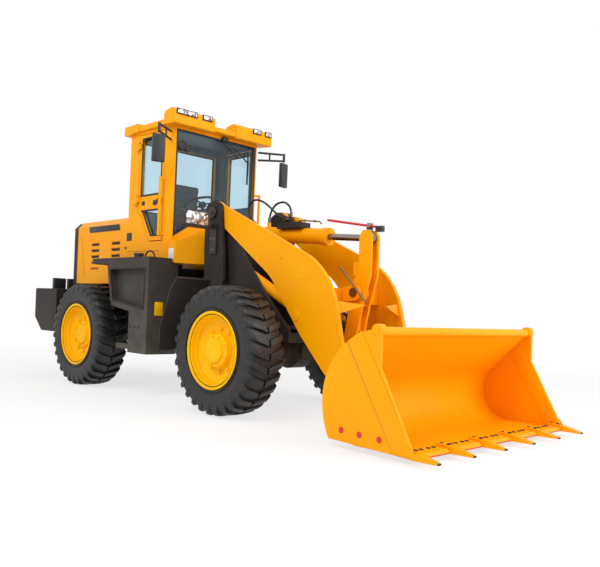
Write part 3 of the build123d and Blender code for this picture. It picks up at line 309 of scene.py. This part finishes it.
def framed(bm, outline, width, thick):
    """A flat ring round a window's outline, from points in space."""
    face = bm.faces.new([bm.verts.new(at(*p)) for p in outline])
    bm.normal_update()
    bmesh.ops.inset_region(bm, faces=[face], thickness=width * MM, use_even_offset=True,
                           use_boundary=True)
    bmesh.ops.delete(bm, geom=[face], context="FACES_ONLY")
    ring = bm.faces[:]
    made = bmesh.ops.extrude_face_region(bm, geom=ring)["geom"]
    moved = [v for v in made if isinstance(v, bmesh.types.BMVert)]
    bmesh.ops.translate(bm, verts=moved, vec=Vector(thick) * MM)


def twin(bm):
    """Adds the mirror image on the machine's other side."""
    bmesh.ops.mirror(bm, geom=bm.verts[:] + bm.edges[:] + bm.faces[:], matrix=Matrix.Identity(4),
                     merge_dist=-1, axis="Y")
    return bm


def spun(bm, profile, centre, steps=96, arc=360.0):
    """A body turned about the Y axis through centre, from points (Y, radius)."""
    line = [bm.verts.new(centre + Vector((0, y, r))) for y, r in profile]
    edges = [bm.edges.new(pair) for pair in zip(line, line[1:] + line[:1])]
    bmesh.ops.spin(
        bm, geom=line + edges, cent=centre, axis=(0, 1, 0), angle=math.radians(arc), steps=steps,
        use_merge=arc == 360.0, use_duplicate=False)


def piece(name, bm, look, body, bevel_mm=0.0, smooth_deg=35.0, segments=2):
    """Closes a mesh, gives it its finish and lets it ride on a body."""
    bmesh.ops.remove_doubles(bm, verts=bm.verts, dist=1e-5)
    bmesh.ops.recalc_face_normals(bm, faces=bm.faces)
    if bevel_mm:
        sharp = [e for e in bm.edges if e.is_manifold and e.calc_face_angle(0) > math.radians(30)]
        bmesh.ops.bevel(
            bm, geom=sharp, offset=bevel_mm * MM, segments=segments, profile=0.5, affect="EDGES",
            material=-1, clamp_overlap=True)
    for face in bm.faces:
        face.smooth = True
    for edge in bm.edges:
        if edge.is_manifold and edge.calc_face_angle(0) > math.radians(smooth_deg):
            edge.smooth = False
    mesh = bpy.data.meshes.new(name)
    bm.to_mesh(mesh)
    bm.free()
    mesh.materials.append(look)
    made = bpy.data.objects.new(name, mesh)
    bpy.context.scene.collection.objects.link(made)
    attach(made, body)
    return made


# ---------------------------------------------------------------- hoses
def hose(name, points, ends):
    """A hydraulic hose on a smooth line between two fittings, and its crimped ferrules."""
    curve = bpy.data.curves.new(name, "CURVE")
    curve.dimensions, curve.bevel_depth, curve.bevel_resolution = "3D", 0.010, 5
    curve.use_fill_caps = True
    line = curve.splines.new("NURBS")
    line.points.add(len(points) - 1)
    for point, place in zip(line.points, points):
        point.co = (*at(*place), 1.0)
    line.order_u, line.use_endpoint_u, line.resolution_u = 3, True, 12
    curve.materials.append(HOSE)
    cord = bpy.data.objects.new("hydraulic_" + name, curve)
    bpy.context.scene.collection.objects.link(cord)
    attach(cord, "tilt_barrel")
    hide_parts(name)
    bm = bmesh.new()
    for port, onward in ends:
        port = Vector(port)
        way = (Vector(onward) - port).normalized()
        rod(bm, port - way * 30, port + way * 6, 15, segments=6)
        rod(bm, port, port + way * 52, 13.5)
        for n in range(3):
            rod(bm, port + way * (12 + n * 14), port + way * (17 + n * 14), 14.5)
    piece(f"{name}_ferrules", bm, STEEL, "tilt_barrel", 1.0)
    return cord


HOSE_A = [
    (-505, -100, 1775), (-566, -100, 1822), (-636, -100, 1901), (-618, -100, 1995),
    (-530, -100, 2033), (-385, -100, 1985), (-218, -100, 1860), (-105, -100, 1800), (-30, -100, 1800),
]
HOSE_B = [
    (-393, -30, 1795), (-393, -30, 1870), (-330, -30, 1965), (-215, -30, 1992), (-128, -30, 1955),
    (-88, -30, 1895), (-88, -30, 1835),
]


for name, points, length in (("hose_a", HOSE_A, 0.914), ("hose_b", HOSE_B, 0.516)):
    cord = hose(name, points, [(points[0], points[1]), (points[-1], points[-2])])


# ---------------------------------------------------------------- tyres
TYRE_R, LUGS = 567, 30
LUG_PHASE = math.radians(4.857)      # a lug's corner stands straight down


def lugged_tyre(wheel):
    """An off-road tyre: a round carcass with paired slanting lugs that wrap over its shoulders."""
    centre = joints[f"wheel_{wheel}_spin"]
    bm = bmesh.new()
    outer = [
        (-160, 306), (-163, 339), (-166, 345), (-170, 372), (-178, 415), (-179, 455), (-176, 490),
        (-166, 515), (-140, 528), (-90, 535), (0, 538),
    ]
    outer += [(-y, r) for y, r in outer[-2::-1]]
    spun(bm, [(y * MM, r * MM) for y, r in outer], centre, 120)
    # a lug's cross stations, from beside the middle to the side wall: (across, foot, top, width)
    stations = [(9, 532, 566, 58), (50, 532, 566, 60), (105, 528, 564, 58), (150, 518, 558, 54),
                (172, 500, 542, 50), (179, 480, 516, 48), (179.4, 462, 472, 44)]
    steps = len(stations) - 1
    for flank in (-1, 1):
        for n in range(LUGS):
            middle = math.pi + 2 * math.pi * n / LUGS + LUG_PHASE
            rows = []
            for k, (across, foot, top, width) in enumerate(stations):
                lean = 0.062 - 0.124 * min(k, 4) / 4
                row = []
                for radius, spread in ((foot, 1.15), (top, 0.9)):
                    for hand in (-1, 1):
                        angle = middle + lean + hand * width * spread / 2 / TYRE_R
                        row.append(bm.verts.new(centre + Vector((
                            radius * math.sin(angle), flank * across, radius * math.cos(angle))) * MM))
                rows.append([row[0], row[1], row[3], row[2]])
            made = [bm.faces.new(rows[0]), bm.faces.new(rows[-1])]
            for one, two in zip(rows, rows[1:]):
                for a in range(4):
                    made.append(bm.faces.new((one[a], one[(a + 1) % 4], two[(a + 1) % 4], two[a])))
            tops = [e for e in {e for f in made for e in f.edges} if all(
                v in [r[2] for r in rows] or v in [r[3] for r in rows] for v in e.verts)]
            bmesh.ops.bevel(bm, geom=tops, offset=0.004, segments=1, profile=0.5, affect="EDGES",
                            material=-1, clamp_overlap=True)
    # ribs round the side wall, where it was pressed
    for side in (-1, 1):
        for radius in (362, 452):
            spun(bm, [(side * 172 * MM, (radius - 6) * MM), (side * 179.6 * MM, radius * MM),
                      (side * 172 * MM, (radius + 6) * MM)], centre, 96)
    tyre = piece(f"lugged_tyre_{wheel}", bm, RUBBER, f"wheel_{wheel}", smooth_deg=32)
    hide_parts(f"tyre_{wheel}")


def dished_rim(wheel, out):
    """A deep-dish wheel: rolled flange, lock ring, sloping disc, ringed hub and its nuts."""
    centre = joints[f"wheel_{wheel}_spin"]
    front = wheel.startswith("front")
    hub = 150 if front else 112
    outline = [
        (-176, 290), (-176, 336), (-172, 339), (-166, 339), (-164, 336), (-164, 305), (164, 305), (164, 334),
        (167, 339), (173, 339), (176, 336), (176, 322), (171, 316), (166, 316), (164, 312), (164, 300),
        (160, 297), (118, 294), (112, 288), (84, 284), (74, 270), (64, 245), (58, 205), (56, 165),
        (60, 152), (hub - 34, 148), (hub - 28, 142), (hub - 26, 112), (hub - 4, 104), (hub, 96),
        (hub, 60), (hub + 1, 34), (hub + 2, 0.5), (40, 0.5), (40, 72), (-60, 72), (-60, 148), (30, 150),
        (44, 280), (-150, 285),
    ]
    bm = bmesh.new()
    spun(bm, [(out * y * MM, r * MM) for y, r in outline], centre, 96)
    cx, cy, cz = [v / MM for v in centre]
    cx -= FRONT_AXLE / MM
    for n in range(10):
        turn = 2 * math.pi * n / 10
        x, z = cx + 188 * math.sin(turn), cz + 188 * math.cos(turn)
        rod(bm, (x, cy + out * 50, z), (x, cy + out * 64, z), 17, segments=24)
        rod(bm, (x, cy + out * 60, z), (x, cy + out * 82, z), 14, segments=6)
    for n in range(8):
        turn = 2 * math.pi * (n + 0.5) / 8
        x, z = cx + 127 * math.sin(turn), cz + 127 * math.cos(turn)
        rod(bm, (x, cy + out * (hub - 32), z), (x, cy + out * (hub - 16), z), 9, segments=6)
    for turn in (0.5, 2.6, 4.7):
        x, z = cx + 55 * math.sin(turn), cz + 55 * math.cos(turn)
        rod(bm, (x, cy + out * (hub - 3), z), (x, cy + out * (hub + 2), z), 12, segments=20)
    x, z = cx + 250 * math.sin(2.2), cz + 250 * math.cos(2.2)
    rod(bm, (x, cy + out * 60, z), (x, cy + out * 112, z), 5)
    rim = piece(f"dished_rim_{wheel}", bm, RIM_YELLOW, f"wheel_{wheel}", 1.5, 30)
    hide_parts(f"rim_{wheel}")


for end in ("front", "rear"):
    for hand, out in (("right", -1), ("left", 1)):
        lugged_tyre(f"{end}_{hand}")
        dished_rim(f"{end}_{hand}", out)

# ---------------------------------------------------------------- bucket
BUCKET_HALF = 1058
TEETH, TOOTH_PITCH, CORNER_TOOTH = 6, 412, 1030
teeth_at = [n * TOOTH_PITCH - CORNER_TOOTH for n in range(TEETH)]
bm = bmesh.new()
side_plate(bm, [(1565, 751), (1684, 828), (2153, 42), (1983, 46)], -BUCKET_HALF, -6)
side_plate(bm, [(1600, 742), (1690, 800), (2130, 66), (1990, 66)], -1033, 6)
rod(bm, (1808, -1000, 838), (1808, -1060, 838), 42)
rod(bm, (1808, -1060, 838), (1808, -1064, 838), 26)
side_plate(bm, [(2085, 62), (2149, 62), (2110, 128), (2085, 128)], -BUCKET_HALF, -7)
piece("bucket_side_strips", twin(bm), YELLOW, "bucket", 1.5)
bm = bmesh.new()
for x, z in ((1537, 135), (1697, 127), (1866, 122)):
    rod(bm, (x, -1057, z), (x, -1061, z), 23, 21)
piece("bucket_side_discs", twin(bm), RED, "bucket", 0.8)
# thin dark sheets along the side strips' edges: a painted shadow in the gap
bm = bmesh.new()
side_plate(bm, [(1559, 748), (1566, 752), (1986, 46), (1978, 46)], -BUCKET_HALF, -1.2)
side_plate(bm, [(2076, 62), (2084, 62), (2084, 134), (2076, 134)], -BUCKET_HALF, -4)
piece("bucket_strip_shadow_gap", twin(bm), DARK_STEEL_AND_PAINTED_SHADE, "bucket")
bm = bmesh.new()
for y in teeth_at[:-1]:
    for dy in (105, 165, 247, 307):
        rod(bm, (2062, y + dy, 70), (2062, y + dy, 80), 12, 9, segments=12)
        rod(bm, (2062, y + dy, 72), (2062, y + dy, 78), 16, segments=20)
for y in teeth_at:
    for x in (2056, 2110):
        rod(bm, (x, y, 86), (x, y, 96), 14, 11, segments=6)
piece("edge_bolts", bm, DARK_STEEL_AND_PAINTED_SHADE, "bucket", 0.8)
bm = bmesh.new()
for y in teeth_at[:-1]:
    side_plate(bm, [(2142, 61), (2161, 49), (2160.5, 42), (2136, 56)], y + 54, 304)
piece("edge_front_paint", bm, RED, "bucket", 1.0)
bm = bmesh.new()
for y in teeth_at:
    rod(bm, (2290, y, 44), (2310, y, 42), 9, 5.5, segments=10)
    brick(bm, (2286, 2311), (y - 20.5, y + 20.5), (35.5, 48.5))
piece("worn_tooth_tips", bm, CAST, "bucket", 2.0)
bm = bmesh.new()
for y in (-900, -450, 0, 450, 900):
    side_plate(bm, [(1560, 760), (1640, 815), (1500, 640)], y - 5, 10)
piece("bucket_back_ribs", bm, YELLOW, "bucket", 1.5)

# ---------------------------------------------------------------- arms and their pins
ARM_OUT = 455                        # the arm's outer face
bm = bmesh.new()
rod(bm, (-705, -508, 1858), (-705, -516, 1858), 62, 59)
rod(bm, (-705, -516, 1858), (-705, -524, 1858), 16, segments=6)
piece("pin_caps", twin(bm), DARK_STEEL_AND_PAINTED_SHADE, "front_frame", 1.5)
bm = bmesh.new()
for x, z in ((235, 1400), (500, 1215), (745, 960)):
    rod(bm, (x, -ARM_OUT, z), (x, -ARM_OUT - 6, z), 11, 8, segments=12)
rod(bm, (450, -ARM_OUT, 890), (450, -ARM_OUT - 7, 890), 46, 43)
piece("arm_grease_caps", twin(bm), YELLOW, "boom", 1.0)
bm = bmesh.new()
rod(bm, (669, -150, 1338), (966, -150, 1034), 9)
piece("bucket_stop_rod", bm, CAST, "boom")
bm = bmesh.new()
brick(bm, (838, 874), (-26, 26), (1665, 1684))
brick(bm, (930, 1002), (-20, 20), (1640, 1690))
rod(bm, (966, -26, 1673), (966, 26, 1673), 14)
piece("level_rod_bracket", bm, DARK_STEEL_AND_PAINTED_SHADE, "tilt_rod", 3.0)

# the valve on the tilt cylinder, its sloping cap and the thin pipe to the cylinder's far end
bm = bmesh.new()
brick(bm, (-188, -62), (-60, 8), (1770, 1826))
rod(bm, (-125, -26, 1826), (-125, -26, 1835), 26)
rod(bm, (-160, -50, 1800), (-160, -66, 1800), 15, segments=6)
rod(bm, (-95, -50, 1800), (-95, -66, 1800), 15, segments=6)
piece("valve_body", bm, CAST, "tilt_barrel", 7.0, segments=3)
bm = bmesh.new()
side_plate(bm, [(-58, 1770), (-58, 1833), (18, 1819), (86, 1770)], -56, 61)
piece("valve_cap", bm, YELLOW, "tilt_barrel", 5.0, segments=3)
bm = bmesh.new()
tube(bm, [(60, -72, 1778), (95, -74, 1782), (330, -74, 1758), (352, -70, 1735)], 7)
for x, z in ((140, 1779), (270, 1765)):
    rod(bm, (x, -60, z), (x, -88, z), 10, segments=12)
piece("cylinder_pipe", bm, CAST, "tilt_barrel")

# ---------------------------------------------------------------- cab
def seals(name, body, rings):
    """Black rubber gaskets that hold the panes."""
    bm = bmesh.new()
    for outline, width, thick in rings:
        part = bmesh.new()
        framed(part, outline, width, thick)
        holder = bpy.data.meshes.new("gasket")
        part.to_mesh(holder)
        part.free()
        bm.from_mesh(holder)
        bpy.data.meshes.remove(holder)
    return piece(name, bm, BLACK_RUBBER_AND_PAINTED_SHADE, body, 2.0)


def pane_ring(points, y):
    """A pane's outline, stood at one distance from the middle plane."""
    return [(x, y, z) for x, z in points]


windscreen = [(-548, 1650), (-350, 1770), (350, 1770), (548, 1650), (548, 2770), (-548, 2770)]
rear_pane = [(-540, 1960), (540, 1960), (540, 2740), (-540, 2740)]
seals("windscreen_gaskets", "chassis", [
    ([(-1302, y, z) for y, z in windscreen], 20, (5, 0, 0)),
    ([(-2058, y, z) for y, z in rear_pane], 20, (-5, 0, 0)),
])
DOOR_FRONT, DOOR_REAR = -1398, -1880
upper = [(DOOR_REAR + 48, 2090), (DOOR_FRONT - 38, 2090), (DOOR_FRONT - 38, 2725), (DOOR_REAR + 48, 2725)]
lower = [(DOOR_REAR + 268, 1655), (DOOR_FRONT - 38, 1655), (DOOR_FRONT - 38, 1945), (DOOR_REAR + 62, 1945),
         (DOOR_REAR + 110, 1905)]
for hand, side in (("right", -1), ("left", 1)):
    seals(f"door_gaskets_{hand}", f"door_{hand}", [
        (pane_ring(upper, side * 616), 20, (0, side * 7, 0)),
        (pane_ring(lower, side * 616), 20, (0, side * 7, 0)),
    ])
    bm = bmesh.new()
    brick(bm, (-1575, -1510), (side * 619, side * 627), (1985, 2035))
    brick(bm, (-1795, -1740), (side * 619, side * 625), (1995, 2040))
    tube(bm, [(-1455, side * 622, 2040), (-1455, side * 650, 2036), (-1455, side * 650, 1996),
              (-1455, side * 622, 1992)], 9)
    piece(f"door_handle_{hand}", bm, ABS, f"door_{hand}", 3.0)

bm = bmesh.new()
brick(bm, (-1300, -1262), (40, 110), (2752, 2790))
tube(bm, [(-1278, 76, 2766), (-1274, 270, 2665), (-1276, 430, 2560)], 7)
tube(bm, [(-1278, 96, 2762), (-1276, 290, 2655), (-1278, 436, 2545)], 5)
brick(bm, (-1296, -1280), (418, 434), (2330, 2690))
brick(bm, (-1290, -1272), (421, 431), (2420, 2600))
piece("windscreen_wiper", bm, ABS, "chassis", 2.0)
bm = bmesh.new()
for x, y, z, r in ((-1297, -470, 2610, 52), (-1297, -395, 2590, 40)):
    rod(bm, (x, y, z), (x - 4, y, z), r, segments=40)
piece("round_interior_fans", bm, BLACK_RUBBER_AND_PAINTED_SHADE, "chassis", 1.0)

# roof and tail lamps: black bezels with lenses set in them
bm, lens = bmesh.new(), bmesh.new()
for y0, y1 in ((-655, -392), (-325, -195), (380, 505), (560, 655)):
    middle = (y0 + y1) / 2
    cross_plate(bm, [(y0, 2880), (y1, 2880), (y1, 2938), (y0, 2938)], -1170, 11)
    count = 2 if y1 - y0 > 200 else 1
    for n in range(count):
        a = y0 + 12 + n * (y1 - y0 - 12) / count
        b = a + (y1 - y0 - 12) / count - 12
        cross_plate(lens, [(a, 2890), (b, 2890), (b, 2929), (a, 2929)], -1160, 5)
for y0, y1 in ((540, 700), (395, 505)):
    for side in (-1, 1):
        brick(bm, (-3690, -3636), (side * y0, side * y1), (1073.5, 1213))
        cross_plate(lens, [(side * (y0 + 12), 1090), (side * (y1 - 12), 1090), (side * (y1 - 12), 1200),
                           (side * (y0 + 12), 1200)], -3689, -6)
bezels = piece("lamp_bezels", bm, ABS, "chassis", 3.0)
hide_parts("lamps")
piece("lamp_lenses", lens, GLINT_PAINTED_LENS, "chassis", 2.0)

# ---------------------------------------------------------------- head lamps
bm, lens, bulbs = bmesh.new(), bmesh.new(), bmesh.new()
cross_plate(bm, [(-906, 1700), (-895, 1694), (-640, 1694), (-622, 1706), (-622, 1828), (-640, 1840),
                 (-880, 1840), (-906, 1800)], -606, 6)
cross_plate(lens, [(-893, 1712), (-645, 1708), (-634, 1720), (-640, 1818), (-655, 1828), (-870, 1826),
                   (-893, 1792)], -603, 6)
for y, z, r in ((-835, 1772, 34), (-745, 1768, 42), (-670, 1776, 26)):
    rod(bulbs, (-598, y, z), (-595, y, z), r, r - 4, segments=32)
piece("head_lamp_bezels", twin(bm), ABS, "front_frame", 3.0)
piece("head_lamp_lenses", twin(lens), GLINT_PAINTED_LENS, "front_frame", 2.5)
piece("head_lamp_bulbs", twin(bulbs), CHROME, "front_frame", 1.0)
bm = bmesh.new()
for x, z in ((-690, 1600), (-645, 1600), (-668, 1490)):
    rod(bm, (x, -516, z), (x, -523, z), 11, segments=6)
    rod(bm, (x, -516, z), (x, -518, z), 15)
piece("lamp_post_bolts", twin(bm), STEEL, "front_frame", 0.8)

# ---------------------------------------------------------------- hood, cowl and platforms
HOOD_SIDE, CAB_SIDE = -600, -620     # outer faces on the right; twin() adds the left
bm = bmesh.new()
side_plate(bm, [(-2950, 1757), (-2250, 1757), (-2276, 1828), (-2976, 1828)], HOOD_SIDE, -2.5)
brick(bm, (-2072, -1975), (-620, -625), (1625, 1712))
rod(bm, (-2122, -599, 1550), (-2122, -606, 1550), 15)
piece("hood_band_and_latches", twin(bm), ABS, "chassis", 1.0)
bm = bmesh.new()
side_plate(bm, [(-3207, 1733), (-3165, 1733), (-3040, 1252), (-3082, 1252)], HOOD_SIDE, -8)
for column in (-2897, -2432):
    for row in range(5):
        z = 1323 + row * 72
        side_plate(bm, [(column - 8, z + 20), (column + 192, z + 20), (column + 192, z + 27),
                        (column - 8, z + 27)], HOOD_SIDE, -7)
piece("hood_pressings", twin(bm), YELLOW, "chassis", 2.5)
bm = bmesh.new()
side_plate(bm, [(-2098, 1504), (-2098, 1508), (-2066, 1508), (-2066, 1504)], HOOD_SIDE, -1.5)
side_plate(bm, [(-2056, 1503), (-2056, 1507), (-1427, 1499), (-1427, 1495)], CAB_SIDE, -1.5)
# dark orange strips over the two lower louvre slots: painted shade in the slots
for column in (-2897, -2432):
    for row in range(2):
        z = 1323 + row * 72
        side_plate(bm, [(column, z - 6), (column + 184, z - 6), (column + 184, z + 12), (column, z + 12)],
                   HOOD_SIDE, -1.2)
piece("hood_shut_lines_and_slot_shade", twin(bm), SHUT_LINE_AND_SLOT_SHADE, "chassis")
# a black sheet just inside the hood's sides, behind the louvres: painted shade in the engine bay
bm = bmesh.new()
brick(bm, (-3190, -2120), (-587, -583), (1270, 1660))
piece("hood_painted_shade_sheet", twin(bm), BLACK_RUBBER_AND_PAINTED_SHADE, "chassis")
bm = bmesh.new()
side_plate(bm, [(-1292, 1405), (-1200, 1405), (-1200, 1520), (-1292, 1520)], -598, -2)
piece("cowl_labels", twin(bm), WHITE, "chassis", 0.6)
bm = bmesh.new()
cross_plate(bm, [(-815, 825), (-715, 825), (-715, 961), (-815, 961)], -1178, 2)
piece("platform_labels", twin(bm), RIM_YELLOW, "chassis", 0.6)
bm = bmesh.new()
tube(bm, arch((-1480, -760, 1408), (-1290, -760, 1408), 74), 9)
rod(bm, (-1560, -780, 1408), (-1560, -780, 1440), 46)
rod(bm, (-1560, -780, 1440), (-1560, -780, 1462), 54, 50)
for side in (-1, 1):
    for x in range(-2220, -1230, 90):
        brick(bm, (x, x + 50), (side * 680, side * 696), (1409, 1413))
        brick(bm, (x, x + 50), (side * 800, side * 816), (1409, 1413))
piece("platform_fittings", bm, ABS, "chassis", 2.0)
bm = bmesh.new()
framed(bm, [(-1930, -901, 1300), (-1850, -901, 960), (-1240, -901, 880), (-1240, -901, 1300)],
       14, (0, -5, 0))
for x in (-1480, -1400, -1320):
    rod(bm, (x, -900, 700), (x, -906, 700), 12, segments=6)
piece("platform_trim", twin(bm), FRAME_GREY, "chassis", 1.5)
# rows of dark strips across the rear grille are painted louvre shadows; the round heads are flush bolts
bm = bmesh.new()
for side in (-1, 1):
    for z in range(1300, 1740, 58):
        brick(bm, (-3342, -3338), (side * 60, side * 420), (z, z + 8))
    for y in (180, 720):
        for z in (700, 950):
            rod(bm, (-3720, side * y, z), (-3719.8, side * y, z), 20, segments=6)
piece("rear_fixings_and_louvre_shadows", bm, DARK_STEEL_AND_PAINTED_SHADE, "chassis")

# ---------------------------------------------------------------- mirrors
mirror_pivot = at(-1155, 862, 2488)
mirror_turn = Matrix.Rotation(math.radians(17), 3, "Z")
bm, face = bmesh.new(), bmesh.new()
head = brick(bm, (-1180, -1130), (798, 926), (2351, 2625))
bmesh.ops.rotate(bm, verts=head, cent=mirror_pivot, matrix=mirror_turn)
tube(bm, [(-1155, 862, 2640), (-1155, 862, 2741)], 15)
tube(bm, [(-1318, 600, 2728), (-1155, 862, 2727)], 12)
tube(bm, [(-1318, 600, 2641), (-1155, 862, 2655)], 12)
tube(bm, [(-1245, 718, 2727), (-1245, 718, 2648)], 10)
glass = brick(face, (-1183, -1179), (808, 916), (2362, 2614))
bmesh.ops.rotate(face, verts=glass, cent=mirror_pivot, matrix=mirror_turn)
housing = piece("mirror_housings", twin(bm), ABS, "chassis", 9.0, segments=3)
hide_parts("mirrors")
piece("mirror_faces", twin(face), MIRROR_GLASS, "chassis", 3.0)

# ---------------------------------------------------------------- inside the cab
SEAM_DEPTH = 0.006


def cushion(name, x, y, z, puff_mm, crown_axis):
    """A foam cushion under vinyl: a closed block, remeshed, blown up a little and sewn across."""
    bm = bmesh.new()
    brick(bm, x, y, z)
    bmesh.ops.bevel(bm, geom=bm.edges[:], offset=0.022, segments=3, profile=0.5, affect="EDGES", material=-1,
                    clamp_overlap=True)
    pad = piece(name, bm, VINYL, "chassis", smooth_deg=180)
    remesh = pad.modifiers.new("remesh", "REMESH")
    remesh.mode, remesh.use_smooth_shade = "VOXEL", True
    remesh.voxel_size = 0.006
    bpy.context.view_layer.update()
    shape = bpy.data.meshes.new_from_object(pad.evaluated_get(bpy.context.evaluated_depsgraph_get()))
    pad.modifiers.clear()
    pad.data = shape
    start = [v.co.copy() for v in shape.vertices]
    cloth = pad.modifiers.new("cloth", "CLOTH")
    cloth.settings.use_pressure, cloth.settings.uniform_pressure_force = True, 4.0
    cloth.settings.effector_weights.gravity = 0.0
    cloth.point_cache.frame_start, cloth.point_cache.frame_end = 1, 20
    for frame_number in range(1, 21):
        bpy.context.scene.frame_set(frame_number)
    blown = bpy.data.meshes.new_from_object(pad.evaluated_get(bpy.context.evaluated_depsgraph_get()))
    pad.modifiers.clear()
    pad.data = blown
    bpy.context.scene.frame_set(1)
    for vertex, home in zip(pad.data.vertices, start):
        move = vertex.co - home
        if move.length > puff_mm * MM:
            vertex.co = home + move.normalized() * puff_mm * MM
    # three sewn channels across the pad
    low = Vector([min(v.co[k] for v in pad.data.vertices) for k in range(3)])
    high = Vector([max(v.co[k] for v in pad.data.vertices) for k in range(3)])
    for vertex, home in zip(pad.data.vertices, start):
        share = (vertex.co[crown_axis] - low[crown_axis]) / (high[crown_axis] - low[crown_axis])
        groove = max(math.exp(-((share - line) * 22) ** 2) for line in (0.25, 0.5, 0.75))
        middle = (low + high) / 2
        inward = Vector([0 if k == crown_axis else middle[k] - vertex.co[k] for k in range(3)])
        if inward.length > 1e-6:
            vertex.co += inward.normalized() * SEAM_DEPTH * groove
    for polygon in pad.data.polygons:
        polygon.use_smooth = True
    pad.data.materials.clear()
    pad.data.materials.append(VINYL)


cushion("seat_cushion", (-1952, -1548), (-232, 232), (1808, 1912), 8, 1)
cushion("seat_back", (-1997, -1908), (-232, 232), (1918, 2330), 8, 2)
bm = bmesh.new()
brick(bm, (-1940, -1600), (-200, 200), (1402, 1700))
brick(bm, (-1970, -1560), (-236, 236), (1700, 1802))
for side in (-1, 1):
    tube(bm, [(-1990, side * 215, 1760), (-1990, side * 215, 1930)], 14)
    tube(bm, [(-1940, side * 262, 1790), (-1940, side * 262, 1990), (-1660, side * 262, 1995)], 16)
    tube(bm, [(-1560, side * 330 - 20, 1402), (-1540, side * 330 - 20, 1900)], 10)
    bmesh.ops.create_icosphere(bm, subdivisions=2, radius=0.024,
                               matrix=Matrix.Translation(at(-1540, side * 330 - 20, 1915)))
base = piece("seat_base", bm, ABS, "chassis", 6.0)
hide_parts("seat")
bm = bmesh.new()
foot, head = Vector((-1440, 0, 1740)), Vector((-1545, 0, 2075))
way = (head - foot).normalized()
rod(bm, foot + way * 10, head, 24, 20)
rod(bm, head - way * 30, head + way * 14, 46, 40)
across = Vector((0, 1, 0))
up = way.cross(across).normalized()
for n in range(3):
    turn = 2 * math.pi * n / 3 + math.pi / 2
    rod(bm, head, head + (across * math.cos(turn) + up * math.sin(turn)) * 188, 10, 8, segments=12)
ring = [head + (across * math.cos(a) + up * math.sin(a)) * 190 for a in
        [2 * math.pi * n / 40 for n in range(40)]]
for a, b in zip(ring, ring[1:] + ring[:1]):
    rod(bm, a, b, 14, segments=14)
wheel = piece("steering_wheel_rim", bm, VINYL, "chassis", smooth_deg=60)
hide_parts("steering_wheel")

# ---------------------------------------------------------------- studio
def stage_sheet(name, verts, base):
    """A studio card: white to the camera and in reflections, lit and shadowed for all else."""
    material, tree, place = blank(name + "_card")
    seen = add(tree, "LightPath")
    any_ray = add(tree, "Math", {0: seen.outputs["Is Camera Ray"], 1: seen.outputs["Is Glossy Ray"]},
                  operation="MAXIMUM").outputs[0]
    card = add(tree, "BsdfDiffuse", {"Color": colour(base)})
    glow = add(tree, "Emission", {"Color": colour("#ffffff"), "Strength": 1.0})
    # the floor shows white far out, and keeps a soft shadow near the wheels
    far = add(tree, "VectorMath", {0: place}, operation="LENGTH").outputs["Value"]
    share = add(tree, "MapRange", {0: far, 1: 3.0, 2: 9.0, 3: 0.72, 4: 1.0}).outputs[0]
    share = add(tree, "Math", {0: share, 1: any_ray}, operation="MULTIPLY").outputs[0]
    show(tree, add(tree, "MixShader", {0: share, 1: card.outputs[0], 2: glow.outputs[0]}))
    bm = bmesh.new()
    bm.faces.new([bm.verts.new(v) for v in verts])
    mesh = bpy.data.meshes.new(name)
    bm.to_mesh(mesh)
    bm.free()
    mesh.materials.append(material)
    sheet = bpy.data.objects.new(name, mesh)
    bpy.context.scene.collection.objects.link(sheet)


stage_sheet("pale_floor", [(-60, -60, 0), (60, -60, 0), (60, 60, 0), (-60, 60, 0)], "#f7f7f7")

world = bpy.data.worlds.new("studio_sky")
bpy.context.scene.world = world
world.use_nodes = True
sky = world.node_tree
sky.nodes.clear()
rays = add(sky, "LightPath")
direct = add(sky, "Math", {0: rays.outputs["Is Camera Ray"], 1: rays.outputs["Is Transmission Ray"]},
             operation="MAXIMUM").outputs[0]
direct = add(sky, "Math", {0: direct, 1: rays.outputs["Is Glossy Ray"]}, operation="MAXIMUM").outputs[0]
level = add(sky, "MapRange", {0: direct, 3: 0.62, 4: 1.0}).outputs[0]
glow = add(sky, "Background", {"Color": (1, 1, 1, 1), "Strength": level})
add(sky, "OutputWorld", {"Surface": glow.outputs[0]})


def lamp(name, place, aim, size, power):
    """A square soft box at a place, turned towards a point."""
    light = bpy.data.lights.new(name, "AREA")
    light.size, light.energy = size, power
    made = bpy.data.objects.new(name, light)
    made.location = place
    made.rotation_euler = (Vector(aim) - Vector(place)).to_track_quat("-Z", "Y").to_euler()
    bpy.context.scene.collection.objects.link(made)


lamp("key_softbox", (2.5, -7.5, 7.5), (0, 0, 1.0), 5.0, 430)
lamp("fill_softbox", (8.5, 2.5, 5.0), (0.5, 0, 1.0), 5.0, 400)

camera_data = bpy.data.cameras.new("viewpoint")
camera_data.lens, camera_data.sensor_width = 41.53, 36.0
camera_data.shift_x, camera_data.shift_y = 0.0514, 0.0466
camera = bpy.data.objects.new("viewpoint", camera_data)
camera.location = (FRONT_AXLE + 4.656, -4.6947, 0.9611)
camera.rotation_euler = [math.radians(a) for a in (89.617, -2.4536, 46.980)]
bpy.context.scene.collection.objects.link(camera)
bpy.context.scene.camera = camera
bpy.context.scene.view_settings.view_transform = "Standard"

bpy.context.view_layer.update()
